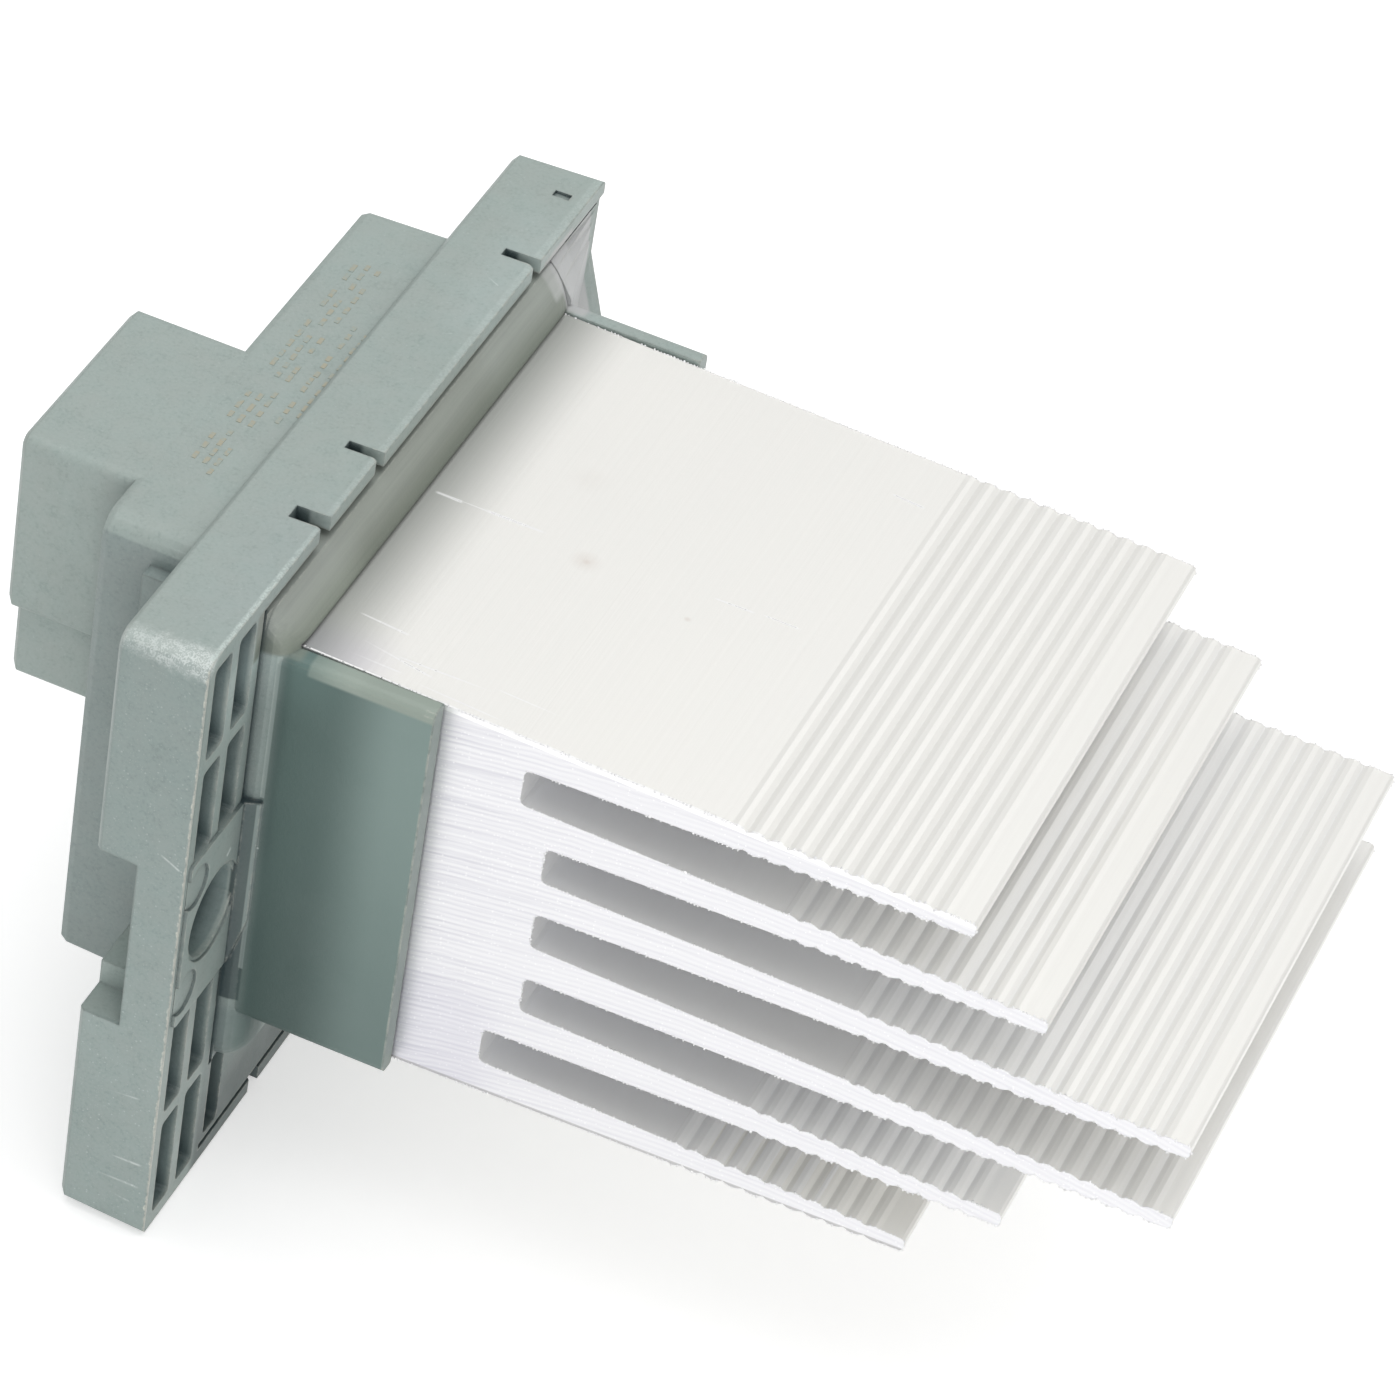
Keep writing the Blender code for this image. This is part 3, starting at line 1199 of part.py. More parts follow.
def build_blades(parent):
    """Build the connector blades with their chamfered tips."""
    tip = -SHROUD_BACK + BLADE_SETBACK
    end = -BOARD_FACE + BLADE_PAST_BOARD
    for name, centre_y, centre_z, width in blades():
        half = width / 2
        thick = BLADE_THICKNESS / 2
        full = rectangle(centre_y - half, centre_z - thick, centre_y + half, centre_z + thick)
        slim = rectangle(centre_y - half + thick, centre_z - thick / 2,
                         centre_y + half - thick, centre_z + thick / 2)
        blade = loft("X", [(tip, slim), (tip + BLADE_THICKNESS, full), (end, full)])
        piece(name, blade, TINNED, parent)


def bent_wire(near, far, level, height):
    """Return a wire's path along Y with both ends bent down through the board."""
    down = BOARD_BACK - LEG_PAST_BOARD
    bend = 0.8 * MM
    return [
        Vector((down, near, height)), Vector((level - bend, near, height)),
        Vector((level - 0.3 * bend, near + 0.3 * bend, height)), Vector((level, near + bend, height)),
        Vector((level, far - bend, height)), Vector((level - 0.3 * bend, far - 0.3 * bend, height)),
        Vector((level - bend, far, height)), Vector((down, far, height)),
    ]


def axial_part(parent, name, finish, radius, length, centre_y, height):
    """Build a bored body with one wire through it, bent down at both ends."""
    level = -BOARD_FACE + SEAT_GAP + radius
    body = prism("Y", centre_y - length / 2, centre_y + length / 2, circle((level, height), radius, 16))
    shell = piece(name + "_body", body, finish, parent)
    bore = circle((level, height), WIRE_RADIUS + SEAT_GAP, 10)
    reach = length / 2 + MM
    cut(shell, "bore", prism("Y", centre_y - reach, centre_y + reach, bore))
    run = length / 2 + WIRE_RUN
    path = bent_wire(centre_y - run, centre_y + run, level, height)
    piece(name + "_wire", swept(path, WIRE_RADIUS), TINNED, parent)


def build_capacitor(parent):
    """Build the electrolytic capacitor lying above the board."""
    level = -BOARD_FACE + SEAT_GAP + CAPACITOR_RADIUS
    far = CAPACITOR_NEAR + CAPACITOR_LENGTH
    centre = (level, CAPACITOR_HEIGHT)
    can = piece("capacitor_can", prism("Y", CAPACITOR_NEAR, far, circle(centre, CAPACITOR_RADIUS, 20)),
                SLEEVE, parent)
    socket = circle(centre, CAPACITOR_RADIUS - 0.4 * MM, 20)
    cut(can, "socket", prism("Y", far - CAPACITOR_BUNG - SEAT_GAP, far + MM, socket))
    plug = circle(centre, CAPACITOR_RADIUS - 0.4 * MM - SEAT_GAP, 20)
    bung = piece("capacitor_bung", prism("Y", far - CAPACITOR_BUNG, far, plug), SILICONE, parent)
    half = CAPACITOR_LEAD_PITCH / 2
    holes = []
    down = BOARD_BACK - LEG_PAST_BOARD
    end = far + WIRE_RUN
    for name, sign, start in (("short", -1, 0.2 * MM), ("long", 1, 0.0)):
        z = CAPACITOR_HEIGHT + sign * half
        path = [
            Vector((level, far - CAPACITOR_BUNG + SEAT_GAP + start, z)), Vector((level, end - 0.8 * MM, z)),
            Vector((level - 0.25 * MM, end - 0.25 * MM, z)), Vector((level - 0.8 * MM, end, z)),
            Vector((down, end, z)),
        ]
        piece("capacitor_lead_" + name, swept(path, WIRE_RADIUS), TINNED, parent)
        bore = circle((level, z), WIRE_RADIUS + HOLE_GAP / 2, 10)
        holes.append(prism("Y", far - CAPACITOR_BUNG - MM, far + MM, bore))
    cut(bung, "holes", gathered(holes))


def build_shunt(parent):
    """Build the flat strip that senses the motor's current."""
    down = BOARD_BACK - LEG_PAST_BOARD
    top = -BOARD_FACE + SHUNT_RISE
    near = SHUNT_CENTRE_Y - SHUNT_SPAN / 2
    far = SHUNT_CENTRE_Y + SHUNT_SPAN / 2
    thick = SHUNT_THICKNESS
    outline = [
        (down, near), (down, near + thick), (top - thick, near + thick), (top - thick, far - thick),
        (down, far - thick), (down, far), (top, far), (top, near),
    ]
    low = SHUNT_HEIGHT - SHUNT_WIDTH / 2
    high = SHUNT_HEIGHT + SHUNT_WIDTH / 2
    piece("current_shunt", prism("Z", low, high, outline), TINNED, parent)


def build_chips(parent):
    """Build the driver chip with its legs and the small resistors and capacitors."""
    low = -BOARD_FACE + SEAT_GAP
    half_y = CHIP_LENGTH / 2
    half_z = CHIP_SPAN / 2
    outline = rectangle(CHIP_CENTRE_Y - half_y, CHIP_HEIGHT - half_z,
                        CHIP_CENTRE_Y + half_y, CHIP_HEIGHT + half_z)
    chip = piece("driver_chip", prism("X", low + 0.1 * MM, low + CHIP_DEPTH, outline), EPOXY, parent)
    legs = []
    for index in range(4):
        y = CHIP_CENTRE_Y + (index - 1.5) * CHIP_LEG_PITCH
        reach = half_z + CHIP_LEG
        bend = [
            (low, CHIP_HEIGHT - reach), (low, CHIP_HEIGHT - reach + CHIP_LEG / 2),
            (low + CHIP_DEPTH / 2, CHIP_HEIGHT - half_z + CHIP_LEG / 4),
            (low + CHIP_DEPTH / 2, CHIP_HEIGHT + half_z - CHIP_LEG / 4),
            (low, CHIP_HEIGHT + reach - CHIP_LEG / 2), (low, CHIP_HEIGHT + reach),
            (low + 0.2 * MM, CHIP_HEIGHT + reach), (low + CHIP_DEPTH / 2 + 0.2 * MM, CHIP_HEIGHT + half_z),
            (low + CHIP_DEPTH / 2 + 0.2 * MM, CHIP_HEIGHT - half_z), (low + 0.2 * MM, CHIP_HEIGHT - reach),
        ]
        legs.append(prism("Y", y - 0.2 * MM, y + 0.2 * MM, bend))
    join(chip, "legs", gathered(legs))
    row = (
        ("gate_resistor_near", TRANSISTOR_NEAR_Y, GATE_RESISTOR_HEIGHT),
        ("gate_resistor_far", TRANSISTOR_FAR_Y, GATE_RESISTOR_HEIGHT),
        ("filter_capacitor_near", CHIP_CENTRE_Y - half_y - SMALL_CHIP_GAP, CHIP_HEIGHT),
        ("filter_capacitor_far", CHIP_CENTRE_Y + half_y + SMALL_CHIP_GAP, CHIP_HEIGHT),
    )
    for name, y, z in row:
        near = (low, y - SMALL_CHIP_WIDTH / 2, z - SMALL_CHIP_LENGTH / 2)
        far = (low + SMALL_CHIP_DEPTH, y + SMALL_CHIP_WIDTH / 2, z + SMALL_CHIP_LENGTH / 2)
        piece(name, box(near, far), CERAMIC, parent)


def main():
    """Build the whole part under one frame."""
    clear_scene()
    frame = bpy.data.objects.new("flange_frame", None)
    bpy.context.scene.collection.objects.link(frame)
    build_housing(frame)
    build_heat_sink(frame)
    build_seals(frame)
    build_board(frame)
    build_transistors(frame)
    build_clamp(frame)
    build_standoffs(frame)
    build_blades(frame)
    build_capacitor(frame)
    axial_part(frame, "thermal_fuse", CERAMIC, FUSE_RADIUS, FUSE_LENGTH, FUSE_CENTRE_Y, FUSE_HEIGHT)
    axial_part(frame, "diode", GLASS_BEAD, DIODE_RADIUS, DIODE_LENGTH, DIODE_CENTRE_Y, DIODE_HEIGHT)
    build_shunt(frame)
    build_chips(frame)


main()
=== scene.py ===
"""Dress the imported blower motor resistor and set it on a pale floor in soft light.

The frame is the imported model's own: metres, the flange seats on X = 0, +X runs along the
fins, +Y along the extrusion's sawn length and +Z across the stack of fins.
"""

import json
import logging
import math
import random
from dataclasses import dataclass
from enum import Enum
from typing import Sequence, Union

import bmesh
import bpy
from mathutils import Matrix, Vector
from mathutils.bvhtree import BVHTree


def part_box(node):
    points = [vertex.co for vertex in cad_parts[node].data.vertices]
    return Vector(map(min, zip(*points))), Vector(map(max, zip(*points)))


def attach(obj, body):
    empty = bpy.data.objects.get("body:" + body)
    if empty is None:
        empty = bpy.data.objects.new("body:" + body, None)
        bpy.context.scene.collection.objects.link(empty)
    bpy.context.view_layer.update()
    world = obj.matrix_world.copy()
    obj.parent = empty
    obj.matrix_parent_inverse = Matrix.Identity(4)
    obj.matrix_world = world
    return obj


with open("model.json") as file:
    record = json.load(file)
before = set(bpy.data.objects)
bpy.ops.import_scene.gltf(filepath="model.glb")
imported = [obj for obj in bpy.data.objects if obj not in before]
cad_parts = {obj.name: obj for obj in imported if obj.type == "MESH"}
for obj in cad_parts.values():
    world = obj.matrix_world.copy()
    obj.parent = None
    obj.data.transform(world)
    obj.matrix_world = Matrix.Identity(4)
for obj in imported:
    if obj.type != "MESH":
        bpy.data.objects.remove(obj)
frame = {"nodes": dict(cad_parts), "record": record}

MM = 0.001
TURN = 2 * math.pi
OPAQUE = 1.0
RAY_SAMPLES = 3
BURRS_KEPT = 0.62
WHITE = (1.0, 1.0, 1.0)
LOG = logging.getLogger("resistor")

Triple = tuple[float, float, float]
Colour = tuple[float, float, float]
Socket = bpy.types.NodeSocket
Sockets = bpy.types.bpy_prop_collection
Value = Union[float, int, bool, tuple, Socket]


class Slot(Enum):
    """The record's material slots."""

    HOUSING = "housing_plastic"
    ALUMINIUM = "bare_aluminium"
    BOARD = "board_fibreglass"
    EPOXY = "transistor_epoxy"
    TINNED = "tinned_copper"
    SPRING = "spring_steel"
    ZINC = "zinc_plated_steel"
    BRASS = "turned_brass"
    SILICONE = "silicone_rubber"
    PAD = "thermal_pad"
    CERAMIC = "chip_ceramic"
    GLASS = "diode_glass"
    SLEEVE = "capacitor_sleeve"


class Step(Enum):
    """How a ramp runs between its ends."""

    LINEAR = "LINEAR"
    SMOOTH = "SMOOTHSTEP"


def metres(*values: float) -> Triple:
    """Turn millimetres into a place in metres."""
    return tuple(value * MM for value in values)


class Bench:
    """A bench on which the nodes of one tree are set out and wired."""

    def __init__(self, tree: bpy.types.NodeTree) -> None:
        """Take a tree to work on.

        Args:
            tree: A shader or geometry node tree.
        """
        self.tree = tree

    def feed(self, socket: Socket, value: Value) -> None:
        """Link a socket to another, or set its value.

        Args:
            socket: The input to fill.
            value: An output socket, or a plain value; a colour has three numbers.
        """
        if isinstance(value, bpy.types.NodeSocket):
            self.tree.links.new(value, socket)
        elif socket.type == "RGBA":
            socket.default_value = (*value, OPAQUE)
        else:
            socket.default_value = value

    def node(self, kind: str, inputs: dict | None = None, **settings: object) -> bpy.types.Node:
        """Add a node.

        Args:
            kind: The node's type name.
            inputs: Values or sockets by input name or number.
            **settings: The node's own settings.

        Returns:
            The new node.
        """
        made = self.tree.nodes.new(kind)
        for name, value in settings.items():
            setattr(made, name, value)
        for key, value in (inputs or {}).items():
            self.feed(made.inputs[key], value)
        return made

    def math(self, operation: str, first: Value, second: Value = 0.0, clamp: bool = False) -> Socket:
        """Add a Math node and return its output."""
        made = self.node("ShaderNodeMath", {0: first, 1: second}, operation=operation, use_clamp=clamp)
        return made.outputs[0]

    def product(self, first: Value, *others: Value) -> Socket:
        """Multiply several values and return the product."""
        result = first
        for other in others:
            result = self.math("MULTIPLY", result, other)
        return result

    def sum(self, first: Value, second: Value, clamp: bool = False) -> Socket:
        """Add two values."""
        return self.math("ADD", first, second, clamp)

    def less(self, first: Value, second: Value) -> Socket:
        """Take the second value from the first."""
        return self.math("SUBTRACT", first, second)

    def greater(self, first: Value, second: Value) -> Socket:
        """Return the greater of two values."""
        return self.math("MAXIMUM", first, second)

    def inverse(self, value: Value) -> Socket:
        """Return one less a value."""
        return self.less(1.0, value)

    def vector(self, operation: str, first: Value, second: Value = (0.0, 0.0, 0.0)) -> Socket:
        """Add a Vector Math node and return its vector, or its number for a length or a dot."""
        made = self.node("ShaderNodeVectorMath", {0: first, 1: second}, operation=operation)
        return made.outputs["Value" if operation in ("LENGTH", "DOT_PRODUCT", "DISTANCE") else "Vector"]

    def split(self, value: Value) -> tuple[Socket, Socket, Socket]:
        """Return a vector's three parts."""
        made = self.node("ShaderNodeSeparateXYZ", {0: value})
        return tuple(made.outputs)

    def joined(self, x: Value = 0.0, y: Value = 0.0, z: Value = 0.0) -> Socket:
        """Return a vector made of three numbers."""
        return self.node("ShaderNodeCombineXYZ", {0: x, 1: y, 2: z}).outputs[0]

    def ramp(self, value: Value, low: Value, high: Value, start: Value = 0.0, end: Value = 1.0,
             step: Step = Step.SMOOTH) -> Socket:
        """Map a value from one range to another, held at both ends.

        Args:
            value: The number to map.
            low: Where the ramp starts.
            high: Where the ramp ends.
            start: The result at low.
            end: The result at high.
            step: How the ramp runs.

        Returns:
            The mapped number.
        """
        inputs = {0: value, 1: low, 2: high, 3: start, 4: end}
        made = self.node("ShaderNodeMapRange", inputs, interpolation_type=step.value, clamp=True)
        return made.outputs[0]

    def mixed(self, share: Value, first: Value, second: Value, blend: str = "MIX") -> Socket:
        """Mix two colours by a share and return the result."""
        made = self.node("ShaderNodeMix", {0: share, 6: first, 7: second}, data_type="RGBA", blend_type=blend)
        return made.outputs[2]

    def laid(self, under: Value, over: Value, *shares: Value) -> Socket:
        """Lay one colour over another by the product of the shares and return the result."""
        return self.mixed(self.product(*shares), under, over)

    def noise(self, place: Value, scale: Value, detail: float = 2.0, rough: float = 0.5) -> Socket:
        """Add a noise texture and return its value."""
        inputs = {"Vector": place, "Scale": scale, "Detail": detail, "Roughness": rough}
        return self.node("ShaderNodeTexNoise", inputs).outputs[0]

    def group(self, tree: bpy.types.NodeTree, inputs: dict) -> bpy.types.Node:
        """Place a shader group with its own values."""
        return self.node("ShaderNodeGroup", inputs, node_tree=tree)


def open_group(name: str, inputs: dict, outputs: Sequence[str],
               kind: str = "ShaderNodeTree") -> tuple[Bench, Sockets, Sockets]:
    """Start a node group with named inputs and outputs.

    Args:
        name: The group's name.
        inputs: By name a number, a vector, or the socket type's name where there is no default.
        outputs: The names of the numbers that it gives; a geometry tree gives its geometry.
        kind: The tree's type name.

    Returns:
        The bench for the group, what it is given, and what it has to fill.
    """
    tree = bpy.data.node_groups.new(name, kind)
    kinds = {float: "Float", int: "Int", tuple: "Vector"}
    for label, default in inputs.items():
        socket_type = "NodeSocket" + kinds.get(type(default), str(default))
        made = tree.interface.new_socket(name=label, in_out="INPUT", socket_type=socket_type)
        if not isinstance(default, str):
            made.default_value = default
    for label in outputs:
        socket_type = "NodeSocket" + ("Geometry" if label == "Geometry" else "Float")
        tree.interface.new_socket(name=label, in_out="OUTPUT", socket_type=socket_type)
    bench = Bench(tree)
    return bench, bench.node("NodeGroupInput").outputs, bench.node("NodeGroupOutput").inputs


class Effects:
    """The surface effects that several finishes share, each built once as a node group."""

    def __init__(self) -> None:
        """Build every group."""
        self.grain = self._grain()
        self.flecks = self._flecks()
        self.smudges = self._smudges()
        self.streaks = self._streaks()
        self.edge_wear = self._edge_wear()
        self.stroke = self._stroke()
        self.region = self._region()

    @staticmethod
    def _grain() -> bpy.types.NodeTree:
        """Build the fine all-over grain of a moulded, cast or blasted skin."""
        inputs = {"Position": "Vector", "Grain Size": 0.3 * MM}
        bench, given, out = open_group("skin_grain", inputs, ["Height"])
        scale = bench.math("DIVIDE", 1.0, given["Grain Size"])
        fine = bench.noise(given["Position"], scale, 2.0, 0.6)
        coarse = bench.noise(given["Position"], bench.math("MULTIPLY", scale, 0.21), 1.0)
        bench.feed(out["Height"], bench.sum(bench.product(fine, 0.7), bench.product(coarse, 0.3)))
        return bench.tree

    @staticmethod
    def _flecks() -> bpy.types.NodeTree:
        """Build sparse pale flecks, such as glass fibre at a moulding's skin."""
        inputs = {"Position": "Vector", "Fleck Size": 0.25 * MM, "Amount": 0.2}
        bench, given, out = open_group("skin_flecks", inputs, ["Mask"])
        scale = bench.math("DIVIDE", 1.0, given["Fleck Size"])
        cells = bench.node("ShaderNodeTexVoronoi", {"Vector": given["Position"], "Scale": scale})
        spot = bench.ramp(cells.outputs["Distance"], 0.12, 0.3, 1.0, 0.0)
        chosen = bench.split(cells.outputs["Color"])[0]
        kept = bench.math("LESS_THAN", chosen, given["Amount"])
        bench.feed(out["Mask"], bench.product(spot, kept))
        return bench.tree

    @staticmethod
    def _smudges() -> bpy.types.NodeTree:
        """Build broad soft patches, such as handling marks and dust."""
        inputs = {"Position": "Vector", "Patch Size": 8.0 * MM, "Contrast": 0.2}
        bench, given, out = open_group("soft_smudges", inputs, ["Tone"])
        scale = bench.math("DIVIDE", 1.0, given["Patch Size"])
        cloud = bench.noise(given["Position"], scale, 4.0, 0.62)
        low = bench.less(0.5, given["Contrast"])
        high = bench.sum(0.5, given["Contrast"])
        bench.feed(out["Tone"], bench.ramp(cloud, low, high))
        return bench.tree

    @staticmethod
    def _streaks() -> bpy.types.NodeTree:
        """Build fine lines along one direction, such as die lines or saw marks."""
        inputs = {"Position": "Vector", "Cells per Metre": (100.0, 100.0, 3000.0), "Sharpness": 0.25}
        bench, given, out = open_group("fine_streaks", inputs, ["Height", "Line"])
        stretched = bench.vector("MULTIPLY", given["Position"], given["Cells per Metre"])
        lines = bench.noise(stretched, 1.0, 3.0, 0.7)
        low = bench.less(0.62, given["Sharpness"])
        bench.feed(out["Height"], lines)
        bench.feed(out["Line"], bench.ramp(lines, low, 0.72))
        return bench.tree

    @staticmethod
    def _edge_wear() -> bpy.types.NodeTree:
        """Build the lighter line along an edge, from where the soft normal leaves the true one: rubbed wear,
        and on the extruded aluminium partly a painted highlight.
        """
        inputs = {"Soft Normal": "Vector", "Flat Normal": "Vector", "Position": "Vector",
                  "Onset": 0.02, "Full": 0.2, "Break Size": 0.8 * MM}
        bench, given, out = open_group("edge_wear", inputs, ["Mask"])
        agreement = bench.vector("DOT_PRODUCT", given["Soft Normal"], given["Flat Normal"])
        turned = bench.ramp(bench.inverse(agreement), given["Onset"], given["Full"])
        scale = bench.math("DIVIDE", 1.0, given["Break Size"])
        broken = bench.ramp(bench.noise(given["Position"], scale, 3.0, 0.65), 0.36, 0.62)
        bench.feed(out["Mask"], bench.product(turned, broken))
        return bench.tree

    @staticmethod
    def _stroke() -> bpy.types.NodeTree:
        """Build one short scratch at a place."""
        inputs = {"Position": "Vector", "Middle": "Vector", "Along": (1.0, 0.0, 0.0),
                  "Half Length": 3.0 * MM, "Half Width": 0.1 * MM}
        bench, given, out = open_group("scratch_stroke", inputs, ["Mask"])
        away = bench.vector("SUBTRACT", given["Position"], given["Middle"])
        along = bench.vector("DOT_PRODUCT", away, given["Along"])
        scaled = bench.node("ShaderNodeVectorMath", {0: given["Along"]}, operation="SCALE")
        bench.feed(scaled.inputs["Scale"], along)
        across = bench.vector("LENGTH", bench.vector("SUBTRACT", away, scaled.outputs["Vector"]))
        half = given["Half Length"]
        width = given["Half Width"]
        within = bench.ramp(bench.math("ABSOLUTE", along), bench.product(half, 0.7), half, 1.0, 0.0)
        thin = bench.ramp(across, bench.product(width, 0.2), width, 1.0, 0.0)
        bench.feed(out["Mask"], bench.product(within, thin))
        return bench.tree

    @staticmethod
    def _region() -> bpy.types.NodeTree:
        """Build the mask of a block of space with soft sides."""
        inputs = {"X": 0.0, "Y": 0.0, "Z": 0.0, "Low": "Vector", "High": "Vector", "Softness": 0.2 * MM}
        bench, given, out = open_group("soft_region", inputs, ["Mask"])
        parts = zip([given[name] for name in "XYZ"], bench.split(given["Low"]), bench.split(given["High"]))
        soft = given["Softness"]
        result: Value = 1.0
        for part, low, high in parts:
            above = bench.ramp(part, bench.less(low, soft), low)
            below = bench.ramp(part, high, bench.sum(high, soft), 1.0, 0.0)
            result = bench.product(result, above, below)
        bench.feed(out["Mask"], result)
        return bench.tree


@dataclass(frozen=True)
class Scratch:
    """One scratch: its middle, direction and size, in millimetres."""

    middle: Triple
    along: Triple
    half_length: float
    half_width: float = 0.1
    strength: float = 1.0


@dataclass(frozen=True)
class Tint:
    """A colour inside a block of space, in millimetres.

    With a last colour it runs from the first to the last, from start to end along the axis,
    which is 0, 1 or 2 for X, Y or Z.
    """

    low: Triple
    high: Triple
    softness: float
    first: Colour
    last: Colour | None = None
    axis: int = 0
    start: float = 0.0
    end: float = 1.0
    blend: str = "MIX"


class Surface:
    """The bench of one material, with the readings that every finish starts from."""

    def __init__(self, name: str, effects: Effects, soft_radius: float) -> None:
        """Open a material.

        Args:
            name: The material's name.
            effects: The shared node groups.
            soft_radius: How far the softened edge reaches, in metres.
        """
        self.material = bpy.data.materials.new(name)
        self.material.use_nodes = True
        self.effects = effects
        self.bench = Bench(self.material.node_tree)
        self.shader = self.material.node_tree.nodes["Principled BSDF"]
        self.position = self.bench.vector("ADD", self.bench.node("ShaderNodeTexCoord").outputs["Object"])
        self.axes = self.bench.split(self.position)
        geometry = self.bench.node("ShaderNodeNewGeometry")
        self.flat_normal = geometry.outputs["True Normal"]
        soft = self.bench.node("ShaderNodeBevel", {"Radius": soft_radius}, samples=RAY_SAMPLES)
        self.soft_normal = soft.outputs[0]

    def place(self, tree: bpy.types.NodeTree, output: str, **inputs: Value) -> Socket:
        """Place a shared effect on this surface.

        Args:
            tree: The effect's node group.
            output: The wanted output's name.
            **inputs: Values by input name, with underscores for spaces.

        Returns:
            The output socket.
        """
        named = {key.replace("_", " "): value for key, value in inputs.items()}
        named.setdefault("Position", self.position)
        return self.bench.group(tree, named).outputs[output]

    def grain(self, size: float) -> Socket:
        """Return the height of a fine grain, its size in millimetres."""
        return self.place(self.effects.grain, "Height", Grain_Size=size * MM)

    def smudges(self, size: float, contrast: float) -> Socket:
        """Return the tone of soft patches, their size in millimetres."""
        return self.place(self.effects.smudges, "Tone", Patch_Size=size * MM, Contrast=contrast)

    def flecks(self, size: float, amount: float) -> Socket:
        """Return the mask of sparse flecks, their size in millimetres."""
        return self.place(self.effects.flecks, "Mask", Fleck_Size=size * MM, Amount=amount)

    def lines(self, cells: Triple, sharpness: float, **place: Value) -> Socket:
        """Return the mask of fine lines, from the number of cells in a metre along each axis."""
        return self.place(self.effects.streaks, "Line", Cells_per_Metre=cells, Sharpness=sharpness, **place)

    def run(self, axis: int, low: float, high: float, start: float = 0.0, end: float = 1.0) -> Socket:
        """Return a ramp along axis 0, 1 or 2, its ends in millimetres."""
        return self.bench.ramp(self.axes[axis], low * MM, high * MM, start, end)

    def openness(self, distance: float) -> Socket:
        """Return how open a place is, 1 where nothing of its piece stands within so many millimetres."""
        made = self.bench.node("ShaderNodeAmbientOcclusion", {"Distance": distance * MM},
                               samples=RAY_SAMPLES, only_local=True)
        return made.outputs["AO"]

    def spot(self, middle: Triple, radius: float) -> Socket:
        """Return the mask of a soft round spot, its middle and radius in millimetres."""
        away = self.bench.vector("DISTANCE", self.position, metres(*middle))
        return self.bench.ramp(away, 0.1 * radius * MM, radius * MM, 1.0, 0.0)

    def block(self, low: Triple, high: Triple, softness: float) -> Socket:
        """Return the mask of a block of space, all in millimetres."""
        named = dict(zip("XYZ", self.axes), Low=metres(*low), High=metres(*high), Softness=softness * MM)
        return self.bench.group(self.effects.region, named).outputs["Mask"]

    def tinted(self, colour: Value, tints: Sequence[Tint]) -> Socket:
        """Lay tints over a colour, each inside its own block of space."""
        bench = self.bench
        for tint in tints:
            region = self.block(tint.low, tint.high, tint.softness)
            own: Value = tint.first
            if tint.last:
                own = bench.mixed(self.run(tint.axis, tint.start, tint.end), tint.first, tint.last)
            if tint.blend != "MIX":
                own = bench.mixed(1.0, colour, own, tint.blend)
            colour = bench.mixed(region, colour, own)
        return colour

    def scratches(self, marks: Sequence[Scratch]) -> Socket:
        """Return one mask for several scratches."""
        total: Value = 0.0
        for mark in marks:
            along = Vector(mark.along).normalized()
            one = self.place(self.effects.stroke, "Mask", Middle=metres(*mark.middle), Along=tuple(along),
                             Half_Length=mark.half_length * MM, Half_Width=mark.half_width * MM)
            total = self.bench.greater(total, self.bench.product(one, mark.strength))
        return total

    def worn_edge(self, onset: float, full: float, break_size: float) -> Socket:
        """Return the mask of the edges where the soft normal turns: rubbed wear, and on the extruded
        aluminium partly a painted highlight.
        """
        named = {"Soft Normal": self.soft_normal, "Flat Normal": self.flat_normal, "Position": self.position,
                 "Onset": onset, "Full": full, "Break Size": break_size}
        return self.bench.group(self.effects.edge_wear, named).outputs["Mask"]

    def finish(self, colour: Value, roughness: Value, height: Value, depth: float,
               metallic: Value = 0.0, **plain: float) -> bpy.types.Material:
        """Wire the shader and return the material.

        Args:
            colour: The base colour.
            roughness: The roughness.
            height: The bump's height.
            depth: The bump's depth in metres.
            metallic: How metallic it is, or its map.
            **plain: Other inputs by name, with underscores for spaces.

        Returns:
            The finished material.
        """
        bench = self.bench
        bump = bench.node("ShaderNodeBump", {"Strength": 1.0, "Distance": depth, "Height": height,
                                             "Normal": self.soft_normal})
        bench.feed(self.shader.inputs["Base Color"], colour)
        bench.feed(self.shader.inputs["Roughness"], roughness)
        bench.feed(self.shader.inputs["Metallic"], metallic)
        bench.feed(self.shader.inputs["Normal"], bump.outputs[0])
        for name, value in plain.items():
            bench.feed(self.shader.inputs[name.replace("_", " ")], value)
        return self.material


class Finish:
    """The way one kind of surface is dressed."""

    name: str
    soft_radius = 0.12 * MM

    def dress(self, face: Surface) -> bpy.types.Material:
        """Set out the nodes on an open material and return it."""
        raise NotImplementedError

    def build(self, effects: Effects) -> bpy.types.Material:
        """Build the material.

        Args:
            effects: The shared node groups.

        Returns:
            The material.
        """
        return self.dress(Surface(self.name, effects, self.soft_radius))


